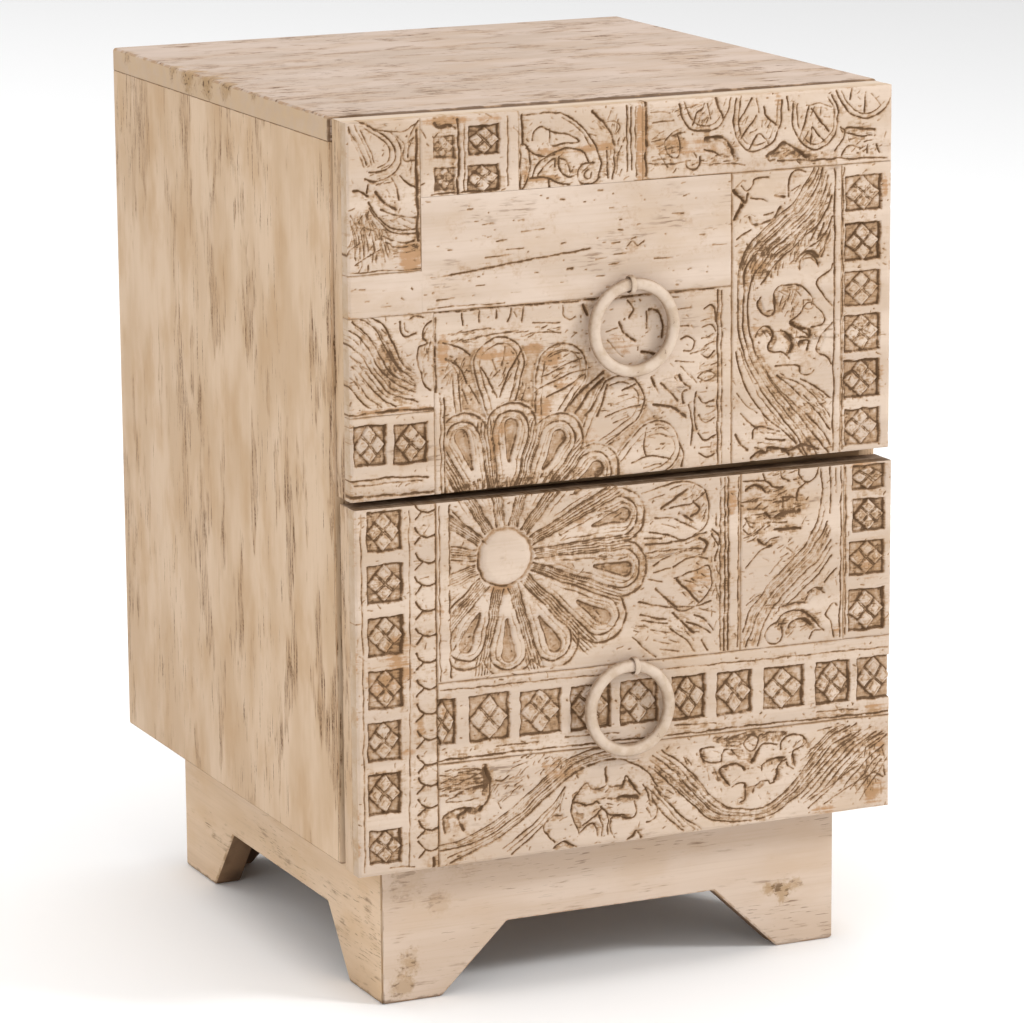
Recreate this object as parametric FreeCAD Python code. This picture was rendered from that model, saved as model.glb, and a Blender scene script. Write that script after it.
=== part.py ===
import FreeCAD, Part
import math
import os

# Side table with two carved drawers on a plinth. Millimetres, +Z up, the front looks to -Y.
# The origin is at the middle of the footprint, on the floor.

# Overall sizes
width = 400.0
height = 600.0
carcass_depth = 400.0
plinth_height = 102.0

# Carcass boards
side_thickness = 18.0
top_thickness = 16.0
bottom_thickness = 18.0
back_thickness = 9.0
rebate_width = 9.0
rebate_height = 8.0
housing_depth = 6.0
top_tongue = 8.0
edge_easing = 1.5

# Divider rail, runners and kickers
divider_thickness = 18.0
divider_depth = 60.0
divider_middle = 349.0
runner_width = 20.0
lower_runner_height = 10.0
kicker_height = 20.0

# Drawer fronts: a backing board with carved blocks glued on it
front_width = 396.0
backing_thickness = 14.0
block_thickness = 10.0
upper_front_top = 599.0
upper_front_bottom = 351.5
lower_front_top = 347.3
lower_front_bottom = 100.0
lower_top_fall = 4.0
upper_gap = 0.6
lower_gap = 5.0
block_easing = 0.8

# Drawer boxes
box_height = 203.0
box_length = 360.0
box_side_play = 2.0
running_gap = 0.4
box_board = 12.0
box_bottom_thickness = 6.0
box_bottom_lift = 8.0
box_groove_depth = 5.0
tail_depth = 8.0
tail_neck = 7.0
tail_width = 10.0
back_housing = 4.0
back_setback = 14.0
back_drop = 10.0

# Plinth
plinth_side_inset = 29.5
plinth_back_inset = 35.0
plinth_board = 20.0
arch_height = 46.5
front_foot = 43.5
front_slope = 49.0
side_foot = 57.0
side_slope = 37.0
foot_block_size = 30.0
foot_block_height = 45.0

# Ring pulls on split pins
ring_radius = 29.0
ring_wire = 4.2
ring_sides = 10
ring_steps = 28
eye_reach = 6.8
eye_inner = 4.85
eye_outer = 6.4
eye_sides = 30
pin_width = 3.6
pin_slit = 0.4
pin_leg_length = 16.0
upper_pull_drop = 118.5
lower_pull_drop = 124.0
upper_ring_lean = 4.5
lower_ring_lean = -7.0

# Carved relief: depths below the face, and the sizes of the repeated motifs
lattice_depth = 3.0
diamond_sink = 0.5
diamond_play = 0.5
groove_depth = 1.6
groove_width = 1.4
ground_depth = 2.2
petal_angles = (13, 37, 61, 85, 109, 133, 157, 184, -150, -117, -88, -60, -34, -11)
hub_radius = 18.8
petal_start = 23.0
long_petal = 84.0
short_petal = 64.0
downward_from = -140.0
downward_to = -50.0
petal_round = 15.5
drop_length = 24.0
drop_round = 4.0
drop_depth = 1.5
outline_step = 5.0
hub = (107.0, 42.0)
overcut = 1.0
cut_angle = 18.0

# Places worked out from the sizes above
half_width = width / 2
front_half = front_width / 2
inner_half = half_width - side_thickness
front_thickness = backing_thickness + block_thickness
overall_depth = carcass_depth + lower_gap + front_thickness + eye_reach + eye_outer
carcass_back = overall_depth / 2
carcass_front = carcass_back - carcass_depth
back_face = carcass_back - back_thickness
top_underside = height - top_thickness
bottom_top = plinth_height + bottom_thickness
divider_bottom = divider_middle - divider_thickness / 2
divider_top = divider_middle + divider_thickness / 2
lower_runner_top = bottom_top + lower_runner_height


def vector(x, y, z):
    return FreeCAD.Vector(x, y, z)


def block(x0, x1, y0, y1, z0, z1):
    return Part.makeBox(x1 - x0, y1 - y0, z1 - z0, vector(x0, y0, z0))


def prism(points, path):
    outline = Part.makePolygon(points + [points[0]])
    return Part.Face(outline).extrude(path)


def front_prism(points, y0, y1):
    # An outline in the XZ plane, run through from front to back
    return prism([vector(x, y0, z) for x, z in points], vector(0, y1 - y0, 0))


def side_prism(points, x0, x1):
    # An outline in the YZ plane, run through from left to right
    return prism([vector(x0, y, z) for y, z in points], vector(x1 - x0, 0, 0))


def plan_prism(points, z0, z1):
    # An outline in the XY plane, run upwards
    return prism([vector(x, y, z0) for x, y in points], vector(0, 0, z1 - z0))


def mirrored(shape):
    return shape.mirror(vector(0, 0, 0), vector(1, 0, 0))


def edges_where(shape, wanted):
    # The edges whose two ends both pass the test
    return [edge for edge in shape.Edges if all(wanted(vertex.Point) for vertex in edge.Vertexes)]


def near(a, b):
    return abs(a - b) < 0.01


def without(shape, cutters):
    result = shape
    for cutter in cutters:
        result = result.cut(cutter)
    return result.removeSplitter()


def carcass():
    nodes = {}
    back_half = half_width - rebate_width
    back_top = top_underside + rebate_height
    rail_end = carcass_front + divider_depth
    deep = inner_half + housing_depth

    # Side panel, tongued into the top, with a rebate for the back and housings for bottom and divider
    side = block(-half_width, -inner_half, carcass_front, carcass_back, plinth_height, top_underside)
    foot_edges = edges_where(side, lambda p: near(p.x, -half_width) and near(p.z, plinth_height))
    rear_edges = edges_where(side, lambda p: near(p.x, -half_width) and near(p.y, carcass_back))
    side = side.makeChamfer(edge_easing, foot_edges + rear_edges)
    tongue_middle = -half_width + side_thickness / 2
    tongue = block(tongue_middle - side_thickness / 6, tongue_middle + side_thickness / 6,
                   carcass_front + side_thickness, back_face, top_underside, top_underside + top_tongue)
    back_rebate = block(-back_half, -inner_half, back_face, carcass_back, plinth_height, top_underside)
    bottom_housing = block(-deep, -inner_half, carcass_front, back_face, plinth_height, bottom_top)
    rail_housing = block(-deep, -inner_half, carcass_front, rail_end, divider_bottom, divider_top)
    side = side.fuse(tongue).removeSplitter()
    nodes["left_side_panel"] = without(side, [back_rebate, bottom_housing, rail_housing])
    nodes["right_side_panel"] = mirrored(nodes["left_side_panel"])

    # Top panel over the sides, grooved for their tongues and rebated for the back
    top = block(-half_width, half_width, carcass_front, carcass_back, top_underside, height)
    upper_rim = edges_where(top, lambda p: near(p.z, height))
    upright = [e for e in top.Edges if near(abs(e.tangentAt(e.FirstParameter).z), 1)]
    top = top.makeChamfer(edge_easing, upper_rim + upright)
    back_recess = block(-back_half, back_half, back_face, carcass_back, top_underside, back_top)
    nodes["top_panel"] = without(top, [back_recess, tongue, mirrored(tongue)])

    nodes["bottom_panel"] = block(-deep, deep, carcass_front, back_face, plinth_height, bottom_top)
    nodes["back_panel"] = block(-back_half, back_half, back_face, carcass_back, plinth_height, back_top)
    nodes["drawer_divider"] = block(-deep, deep, carcass_front, rail_end, divider_bottom, divider_top)

    # Runners under the drawer sides, and kickers that stop the upper drawer from tipping
    x0 = -inner_half
    x1 = -inner_half + runner_width
    runner = block(x0, x1, rail_end, back_face, divider_bottom, divider_top)
    lower_runner = block(x0, x1, carcass_front, back_face, bottom_top, lower_runner_top)
    kicker = block(x0, x1, carcass_front, back_face, top_underside - kicker_height, top_underside)
    for name, shape in (("upper_%s_runner", runner), ("lower_%s_runner", lower_runner), ("%s_kicker", kicker)):
        nodes[name % "left"] = shape
        nodes[name % "right"] = mirrored(shape)
    return nodes


# The plinth's outer rectangle
plinth_half = half_width - plinth_side_inset
plinth_front_y = carcass_front
plinth_back_y = carcass_back - plinth_back_inset


def arch(low, high, foot, slope):
    # The trapezoid under a plinth board, narrower at the top, as points along the board and up
    step = overcut * slope / arch_height
    return [
        (low + foot - step, -overcut),
        (low + foot + slope, arch_height),
        (high - foot - slope, arch_height),
        (high - foot + step, -overcut),
    ]


def foot_block_corners():
    xs = (-plinth_half + plinth_board, plinth_half - plinth_board - foot_block_size)
    ys = (plinth_front_y + plinth_board, plinth_back_y - plinth_board - foot_block_size)
    return [("front", "left", xs[0], ys[0]), ("front", "right", xs[1], ys[0]),
            ("back", "left", xs[0], ys[1]), ("back", "right", xs[1], ys[1])]


def plinth():
    nodes = {}
    inner_x = plinth_half - plinth_board
    inner_front = plinth_front_y + plinth_board
    inner_back = plinth_back_y - plinth_board

    # Front and back boards, mitred at both ends
    cut = arch(-plinth_half, plinth_half, front_foot, front_slope)
    arch_front = front_prism(cut, plinth_front_y - overcut, plinth_back_y + overcut)
    front = [(-plinth_half, plinth_front_y), (plinth_half, plinth_front_y),
             (inner_x, inner_front), (-inner_x, inner_front)]
    back = [(plinth_half, plinth_back_y), (-plinth_half, plinth_back_y),
            (-inner_x, inner_back), (inner_x, inner_back)]
    nodes["plinth_front"] = plan_prism(front, 0, plinth_height).cut(arch_front)
    nodes["plinth_back"] = plan_prism(back, 0, plinth_height).cut(arch_front)

    # Side boards between the mitres
    cut = arch(plinth_front_y, plinth_back_y, side_foot, side_slope)
    arch_side = side_prism(cut, -plinth_half - overcut, plinth_half + overcut)
    left = [(-plinth_half, plinth_back_y), (-plinth_half, plinth_front_y),
            (-inner_x, inner_front), (-inner_x, inner_back)]
    nodes["plinth_left"] = plan_prism(left, 0, plinth_height).cut(arch_side)
    nodes["plinth_right"] = mirrored(nodes["plinth_left"])

    # Corner blocks glued into the mitres and up against the bottom panel
    z0 = plinth_height - foot_block_height
    for end, hand, x, y in foot_block_corners():
        corner = block(x, x + foot_block_size, y, y + foot_block_size, z0, plinth_height)
        nodes["plinth_block_%s_%s" % (end, hand)] = corner
    return nodes


# The carved blocks of each front: left, right, top and bottom, from the front's top left corner
upper_height = upper_front_top - upper_front_bottom
lower_height = lower_front_top - lower_front_bottom
upper_blocks = {
    "corner_petal": (0, 51.5, 0, 99),
    "small_lattice": (51.5, 121, 0, 51.5),
    "scroll": (121, 210, 0, 51.5),
    "petal_frieze": (210, front_width, 0, 51.5),
    "plain_board": (51.5, 276, 51.5, 127),
    "plain_block": (0, 51.5, 99, 127),
    "left_wave": (0, 59.5, 127, 192),
    "left_lattice": (0, 59.5, 192, upper_height),
    "rosette": (59.5, 276, 127, upper_height),
    "wave_band": (276, 358.5, 51.5, upper_height),
    "right_lattice": (358.5, front_width, 51.5, upper_height),
}
band_left = 57.5
band_top = 122.0
band_bottom = 177.0
lower_blocks = {
    "left_lattice": (0, band_left, 0, lower_height),
    "rosette": (band_left, 281, 0, band_top),
    "wave_band": (281, 359.5, 0, band_top),
    "right_lattice": (359.5, front_width, 0, band_top),
    "lattice_band": (band_left, front_width, band_top, band_bottom),
    "wave_border": (band_left, front_width, band_bottom, lower_height),
}
# The lower front's two long joints fall towards the right, by this much from end to end
joint_falls = {band_top: 4.0, band_bottom: 5.5}


def joint_level(across, down):
    # How far down a joint lies at a place across the front
    return down + joint_falls.get(down, 0) * (across - band_left) / (front_width - band_left)


# The relief is drawn on the front as seen: across from its left edge, down from its top edge
def on_front(across, down):
    return vector(across, -overcut, -down)


def lattice_cell(left, right, top, bottom):
    # A sunk square that leaves four diamonds standing, point to point
    hollow = block(left, right, -overcut, lattice_depth, -bottom, -top)
    across = (left + right) / 2
    down = (top + bottom) / 2
    step_across = (right - left) / 4
    step_down = (bottom - top) / 4
    reach_across = step_across - diamond_play
    reach_down = step_down - diamond_play
    for turn in range(4):
        middle_across = across + step_across * (1, 0, -1, 0)[turn]
        middle_down = down + step_down * (0, 1, 0, -1)[turn]
        points = [(middle_across + reach_across, -middle_down), (middle_across, -middle_down - reach_down),
                  (middle_across - reach_across, -middle_down), (middle_across, -middle_down + reach_down)]
        hollow = hollow.cut(front_prism(points, diamond_sink, lattice_depth))
    return hollow


def lattice_column(left, right, first, pitch, size, count):
    return [lattice_cell(left, right, first + pitch * i, first + pitch * i + size) for i in range(count)]


def lattice_row(top, bottom, first, pitch, size, count, fall=0):
    # Each square stands lower than the one on its left by the fall
    return [lattice_cell(first + pitch * i, first + pitch * i + size, top + fall * i, bottom + fall * i)
            for i in range(count)]


def sunk_outline(corners, depth):
    # An outline on the front, given across and down, sunk to a depth
    points = [on_front(*corner) for corner in corners]
    return Part.Face(Part.makePolygon(points + [points[0]])).extrude(vector(0, depth + overcut, 0))


def ray_point(centre, radius, angle):
    turn = math.radians(angle)
    return centre[0] + radius * math.cos(turn), centre[1] - radius * math.sin(turn)


def arc_points(centre, radius, start, end):
    # A round stretch in straight chisel cuts, between angles counted from the right and upwards
    cuts = max(2, math.ceil(abs(end - start) / cut_angle))
    return [ray_point(centre, radius, start + (end - start) * i / cuts) for i in range(cuts + 1)]


def arc_groove(centre, radius, start, end):
    half = groove_width / 2
    outer = arc_points(centre, radius + half, start, end)
    inner = arc_points(centre, radius - half, end, start)
    return sunk_outline(outer + inner, groove_depth)


def bearing(a, b):
    # The direction from one point of the front to another, in degrees from the right and upwards
    return math.degrees(math.atan2(a[1] - b[1], b[0] - a[0]))


def straight_groove(a, b):
    aside = groove_width / 2 / math.dist(a, b)
    across = (b[1] - a[1]) * aside
    down = (a[0] - b[0]) * aside
    return sunk_outline([(a[0] + across, a[1] + down), (b[0] + across, b[1] + down),
                         (b[0] - across, b[1] - down), (a[0] - across, a[1] - down)], groove_depth)


def wave(centres, odd_radius, even_radius, pitch, count):
    # A band of grooves that swings round each centre in turn, clockwise round the odd ones and
    # anticlockwise round the even ones, and runs straight from one to the next
    total = odd_radius + even_radius + pitch * (count - 1)
    lean = math.degrees(math.acos(min(1, total / math.dist(centres[0], centres[1]))))
    grooves = []
    for k in range(count):
        last_end = None
        for i, centre in enumerate(centres[1:-1], 1):
            hand = -1 if i % 2 else 1
            radius = odd_radius + pitch * k if i % 2 else even_radius + pitch * (count - 1 - k)
            start = bearing(centre, centres[i - 1]) + hand * lean
            end = bearing(centre, centres[i + 1]) - hand * lean
            sweep = ((end - start) * hand) % 360
            grooves.append(arc_groove(centre, radius, start, start + hand * sweep))
            first_end = ray_point(centre, radius, start)
            if last_end and math.dist(last_end, first_end) > groove_width:
                grooves.append(straight_groove(last_end, first_end))
            last_end = ray_point(centre, radius, end)
    return grooves


def teardrop(centre, angle, start, end, round_radius):
    # A point at the start, tangent sides and a round end, along a ray from the centre
    middle = ray_point(centre, end, angle)
    lean = math.degrees(math.acos(round_radius / (end - start)))
    tip = ray_point(centre, start, angle)
    return [tip] + arc_points(middle, round_radius, angle + 180 - lean, angle - 180 + lean)


def rosette(middle, angles, reach, area):
    # Petals left standing in a sunk ground, each with a drop cut into it, round a raised hub
    ground = block(area[0], area[1], -overcut, ground_depth, -area[3], -area[2])
    drops = []
    for angle in angles:
        petal = teardrop(middle, angle, petal_start, reach(angle), petal_round)
        ground = ground.cut(sunk_outline(petal, ground_depth + overcut))
        drop_end = reach(angle) + drop_round
        drop = teardrop(middle, angle, drop_end - drop_length, drop_end, drop_round)
        drops.append(sunk_outline(drop, drop_depth))
    boss = sunk_outline(arc_points(middle, hub_radius, 0, 360)[:-1], ground_depth + overcut)
    return [ground.cut(boss)] + drops


def outer_petals(places):
    # Rounded leaf outlines cut as two grooves, one inside the other
    grooves = []
    for middle, radius, start, end in places:
        grooves.append(arc_groove(middle, radius, start, end))
        grooves.append(arc_groove(middle, radius - outline_step, start, end))
    return grooves


def petal_reach(angle):
    # The petals that point down stop short, at the block's edge
    return short_petal if downward_from < angle < downward_to else long_petal


def upper_relief():
    hub_in_upper = (hub[0], hub[1] + upper_front_top - lower_front_top)
    angles = [angle for angle in petal_angles if 0 < angle < 120]
    wave_flowers = [(332, -28), (283, 62), (332, 152), (283, 242), (332, 332)]
    return {
        "small_lattice": lattice_column(60, 77, 12, 22, 15.5, 2) + lattice_column(85, 108, 8, 26, 19, 2),
        "scroll": outer_petals([((148, 40), 36, 5, 85), ((171, 44), 8, -120, 150), ((140, 17), 8, 20, 250)]),
        "petal_frieze": outer_petals([((256, 3), 19, 180, 360), ((295, 18), 19, 165, 375),
                                      ((339, 19), 20, 165, 375), ((377, 3), 19, 180, 360)]),
        "corner_petal": outer_petals([((20, 18), 20, -90, 60)]) + [
            arc_groove((58, 60), 14 + 7 * k, 175, 265) for k in range(5)],
        "left_wave": [arc_groove((70, 112), 30 + 8 * k, 180, 270) for k in range(7)],
        "left_lattice": lattice_row(199, 225.5, 2, 28.7, 24, 2),
        "rosette": rosette(hub_in_upper, angles, petal_reach, (66, 266, 190, upper_height + overcut))
        + outer_petals([((104, 172), 22, 20, 160), ((154, 172), 22, 0, 150), ((207, 205), 22, -20, 120)]),
        "wave_band": wave(wave_flowers, 46, 32, 5, 6),
        "right_lattice": lattice_column(362.5, 388, 58.5, 31.8, 25, 6),
    }


def lower_relief():
    border_flowers = [(-137, 197), (-29, 223), (79, 197), (187, 223), (295, 197), (403, 223), (511, 197)]
    band_flowers = [(333, -68), (284, 22), (333, 112), (284, 202)]
    return {
        "left_lattice": lattice_column(8, 33.5, 2.5, 35.4, 26, 7),
        "rosette": rosette(hub, petal_angles, petal_reach, (66, 207, -overcut, 121))
        + outer_petals([((236, 20), 25, -110, 110), ((236, 74), 25, -110, 110), ((236, 124), 25, 20, 160)]),
        "wave_band": wave(band_flowers, 46, 32, 5, 6),
        "right_lattice": lattice_column(364.5, 391, 3, 29.2, 22.5, 4),
        "lattice_band": lattice_row(133.5, 164.5, 80, 36.6, 28, 9, 0.8),
        "wave_border": wave(border_flowers, 22, 24, 6, 5),
    }


def carved_blocks(blocks, reliefs, front_top, face):
    shapes = {}
    place = vector(-front_half, face, front_top)
    for name, (left, right, top, bottom) in blocks.items():
        corners = [(left, top), (right, top), (right, bottom), (left, bottom)]
        outline = [(across, -joint_level(across, down)) for across, down in corners]
        shape = front_prism(outline, 0, block_thickness)
        rim = edges_where(shape, lambda p: near(p.y, 0))
        shape = without(shape.makeChamfer(block_easing, rim), reliefs.get(name, []))
        shapes[name] = shape.translated(place)
    return shapes


def top_fall(front_top, fall, y0, y1):
    # The wedge that takes the front's top edge down towards the right
    points = [(-front_half, front_top), (front_half, front_top - fall), (front_half, front_top)]
    return front_prism(points, y0, y1)


def split_pin(eye, inner_face):
    # A strip bent round the ring into an eye, its two legs through the front and turned back inside.
    # The second shape is the hole that the legs fill.
    def round_bar(radius):
        turns = [2 * math.pi * i / eye_sides for i in range(eye_sides)]
        points = [(eye.y + radius * math.cos(turn), eye.z + radius * math.sin(turn)) for turn in turns]
        return side_prism(points, -half, half)

    half = pin_width / 2
    strip = eye_outer - eye_inner
    loop = round_bar(eye_outer)
    legs = block(-half, half, eye.y, inner_face, eye.z - strip, eye.z + strip)
    turned = block(-half, half, inner_face, inner_face + strip,
                   eye.z - pin_leg_length, eye.z + pin_leg_length)
    hole = Part.makeCylinder(eye_inner, pin_width, vector(-half, eye.y, eye.z), vector(1, 0, 0))
    neck = eye.y + eye_outer
    slit = block(-half, half, neck, inner_face, eye.z - pin_slit / 2, eye.z + pin_slit / 2)
    leg_hole = block(-half, half, neck, inner_face, eye.z - strip, eye.z + strip)
    pin = loop.fuse([legs, turned]).cut(hole).cut(slit).removeSplitter()
    return pin, leg_hole


def pull_ring(middle):
    # Round bar bent into a ring, in flat facets all round its section and all along its way
    def corner(step, side):
        way = 2 * math.pi * step / ring_steps
        turn = 2 * math.pi * (side + 0.5) / ring_sides
        reach = ring_radius + ring_wire * math.cos(turn)
        return middle + vector(reach * math.cos(way), ring_wire * math.sin(turn), reach * math.sin(way))

    facets = []
    for step in range(ring_steps):
        for side in range(ring_sides):
            points = [corner(step, side), corner(step, side + 1),
                      corner(step + 1, side + 1), corner(step + 1, side)]
            facets.append(Part.Face(Part.makePolygon(points + [points[0]])))
    shell = Part.makeShell(facets)
    shell.sewShape()
    return Part.makeSolid(shell)


def drawer(prefix, front_bottom, front_top, fall, gap, pull_drop, ring_lean, box_bottom, blocks, reliefs):
    nodes = {}
    inner_face = carcass_front - gap
    joint_face = inner_face - backing_thickness
    face = joint_face - block_thickness
    eye = vector(0, face - eye_reach, front_top - pull_drop)
    pin, pin_hole = split_pin(eye, inner_face)

    # Box sides, each held in the front board by a sliding dovetail
    box_half = inner_half - box_side_play
    side_inner = box_half - box_board
    box_top = box_bottom + box_height
    rear = inner_face + box_length
    middle = box_half - box_board / 2
    tail = [(-middle - tail_neck / 2, inner_face), (-middle - tail_width / 2, inner_face - tail_depth),
            (-middle + tail_width / 2, inner_face - tail_depth), (-middle + tail_neck / 2, inner_face)]
    tail_left = plan_prism(tail, box_bottom, box_top)
    left = block(-box_half, -side_inner, inner_face, rear, box_bottom, box_top).fuse(tail_left)

    # Bottom in grooves of the sides and the front, and the back standing on it in housings
    panel_half = side_inner + box_groove_depth
    back_rear = rear - back_setback
    back_front = back_rear - box_board
    panel_z0 = box_bottom + box_bottom_lift
    panel_z1 = panel_z0 + box_bottom_thickness
    panel = block(-panel_half, panel_half, inner_face, back_rear, panel_z0, panel_z1)
    lip_half = side_inner - box_groove_depth
    lip = block(-lip_half, lip_half, inner_face - box_groove_depth, inner_face, panel_z0, panel_z1)
    panel = panel.fuse(lip).removeSplitter()
    back_half = side_inner + back_housing
    back = block(-back_half, back_half, back_front, back_rear, panel_z1, box_top - back_drop)
    groove = block(-panel_half, -side_inner, inner_face, rear, panel_z0, panel_z1)
    housing = block(-back_half, -side_inner, back_front, back_rear, panel_z1, box_top)
    left = left.cut(groove).cut(housing).removeSplitter()

    backing = block(-front_half, front_half, joint_face, inner_face, front_bottom, front_top)
    trims = [pin_hole]
    if fall:
        trims.append(top_fall(front_top, fall, face, inner_face))
    nodes["front_board"] = without(backing, [tail_left, mirrored(tail_left), panel] + trims)
    nodes["left_side"] = left
    nodes["right_side"] = mirrored(left)
    nodes["back"] = back
    nodes["bottom"] = panel
    for name, shape in carved_blocks(blocks, reliefs, front_top, face).items():
        nodes[name] = without(shape, trims)
    nodes["pull_pin"] = pin
    # The ring hangs a little aside of plumb, by its lean to the right in degrees
    lean = math.radians(ring_lean)
    ring_middle = eye + vector(ring_radius * math.sin(lean), 0, -ring_radius * math.cos(lean))
    nodes["pull_ring"] = pull_ring(ring_middle)
    return {"%s_%s" % (prefix, name): shape for name, shape in nodes.items()}


def main():
    os.makedirs("parts", exist_ok=True)
    nodes = {}
    nodes.update(carcass())
    nodes.update(plinth())
    nodes.update(drawer("upper", upper_front_bottom, upper_front_top, 0, upper_gap, upper_pull_drop,
                        upper_ring_lean, divider_top + running_gap, upper_blocks, upper_relief()))
    nodes.update(drawer("lower", lower_front_bottom, lower_front_top, lower_top_fall, lower_gap,
                        lower_pull_drop, lower_ring_lean, lower_runner_top + running_gap, lower_blocks,
                        lower_relief()))
    for name, shape in nodes.items():
        shape.exportStep(os.path.join("parts", name + ".step"))
    print(len(nodes), "nodes written")


main()
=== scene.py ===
import bpy
import math
import numpy as np
from mathutils import Matrix, Vector


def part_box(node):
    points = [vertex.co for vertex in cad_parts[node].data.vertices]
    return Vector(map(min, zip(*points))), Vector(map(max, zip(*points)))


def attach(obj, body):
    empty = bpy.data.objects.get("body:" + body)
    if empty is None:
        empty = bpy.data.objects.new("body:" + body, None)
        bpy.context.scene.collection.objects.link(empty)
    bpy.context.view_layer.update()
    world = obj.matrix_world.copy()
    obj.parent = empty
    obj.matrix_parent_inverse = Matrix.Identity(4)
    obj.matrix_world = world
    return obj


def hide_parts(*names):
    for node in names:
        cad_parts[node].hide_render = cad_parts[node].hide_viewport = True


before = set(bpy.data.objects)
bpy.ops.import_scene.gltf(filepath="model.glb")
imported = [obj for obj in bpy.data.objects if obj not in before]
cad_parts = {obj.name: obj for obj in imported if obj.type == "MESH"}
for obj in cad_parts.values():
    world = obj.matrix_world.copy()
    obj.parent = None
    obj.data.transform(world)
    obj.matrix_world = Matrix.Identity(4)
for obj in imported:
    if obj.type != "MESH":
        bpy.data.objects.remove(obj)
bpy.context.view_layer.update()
mm = 0.001
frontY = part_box("left_side_panel")[0].y  # front edge of the carcass
print("frame in place:", len(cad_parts), "nodes")


def takeUp(piece):
    # leaves this piece alone selected and active
    bpy.ops.object.select_all(action="DESELECT")
    piece.select_set(True)
    bpy.context.view_layer.objects.active = piece


def settle(piece, name, body, slotName, finish, *nodes):
    # name, finish and body of a finished piece; the slot name is not used
    piece.name = name
    piece.data.name = name
    piece.data.materials.clear()
    piece.data.materials.append(finish)
    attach(piece, body)
    if nodes:
        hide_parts(*nodes)
    return piece


# finishes: limewashed wood, bare wood and painted iron

def put(tree, kind, feeds=None, **settings):
    item = tree.nodes.new("ShaderNode" + kind)
    for key, value in settings.items():
        setattr(item, key, value)
    for key, value in (feeds or {}).items():
        if isinstance(value, bpy.types.NodeSocket):
            tree.links.new(value, item.inputs[key])
        else:
            item.inputs[key].default_value = value
    return item


def ramp(tree, value, low, high, start=0.0, end=1.0):
    feeds = {"Value": value, "From Min": low, "From Max": high, "To Min": start, "To Max": end}
    return put(tree, "MapRange", feeds, interpolation_type="SMOOTHSTEP").outputs["Result"]


def calc(tree, operation, a, b=0.0):
    return put(tree, "Math", {0: a, 1: b}, operation=operation).outputs[0]


def times(tree, first, *others):
    for other in others:
        first = calc(tree, "MULTIPLY", first, other)
    return first


def unsigned(tree, value):
    return calc(tree, "ABSOLUTE", value)


def tint(tree, factor, a, b):
    feeds = {0: factor, 6: a if isinstance(a, bpy.types.NodeSocket) else (*a, 1), 7: (*b, 1)}
    return put(tree, "Mix", feeds, data_type="RGBA").outputs[2]


def speckle(tree, place, scale, stretch=(1, 1, 1), detail=3.0, rough=0.55, shift=0.0):
    laid = put(tree, "Mapping", {"Vector": place, "Scale": stretch, "Location": (shift, shift, shift)})
    feeds = {"Vector": laid.outputs[0], "Scale": scale, "Detail": detail, "Roughness": rough}
    return put(tree, "TexNoise", feeds).outputs["Fac"]


def blankFinish(name):
    finish = bpy.data.materials.new(name)
    finish.use_nodes = True
    finish.node_tree.nodes.clear()
    return finish, finish.node_tree


def coat(tree, colour, rough, shine, height, strength, depth):
    # the surface itself, from its colour, roughness and small unevenness
    bump = put(tree, "Bump", {"Strength": strength, "Distance": depth, "Height": height})
    feeds = {"Base Color": colour, "Roughness": rough, "Specular IOR Level": shine}
    shader = put(tree, "BsdfPrincipled", {**feeds, "Normal": bump.outputs[0]})
    put(tree, "OutputMaterial", {0: shader.outputs[0]})


def lengthwise(grain, squeeze):
    # a pattern stretched along one axis
    return tuple(squeeze if axis == grain else 1.0 for axis in "xyz")


limewashLook = {
    "cream": (0.585, 0.468, 0.380),
    "shade": (0.500, 0.386, 0.298),
    "warm": (0.482, 0.352, 0.246),
    "fibre": (0.420, 0.292, 0.190),
    "stainAndShade": (0.108, 0.054, 0.022),
    "worn": (0.345, 0.201, 0.096),
    "endTan": (0.440, 0.305, 0.185),
    "golden": (0.375, 0.196, 0.082),
    "scuff": (0.370, 0.232, 0.110),
    "raw": (0.215, 0.125, 0.066),
    "rawDark": (0.110, 0.060, 0.030),
    "bands": (40.0, 0.12),  # how fine, and how far squeezed along the grain
    "hair": (820.0, 0.035),
    "hairCut": (0.54, 0.60),  # where a hairline begins, and where it is full
    "hairStrength": 0.75,
    "gather": (24.0, 0.30, 0.50, 0.64),  # the drifts: fineness, squeeze, begin, full
    "strand": None,  # single strands: fineness, squeeze, begin, strength
    "halo": 0.45,  # worn wash around the hairlines
    "breakUp": 0.0,  # how far hairlines fall apart into dashes
    "frontLean": 0.0,  # how much less stain shows at the back
    "edgeWear": 0.7,
    "topShadeAndDirt": 0.0,
    "roughness": 0.70,
    "scuffs": (),  # place, reach, strength
    "joints": (),  # dirt and painted shade along joints: axis, level, reach, strength, evenness
}


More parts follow.
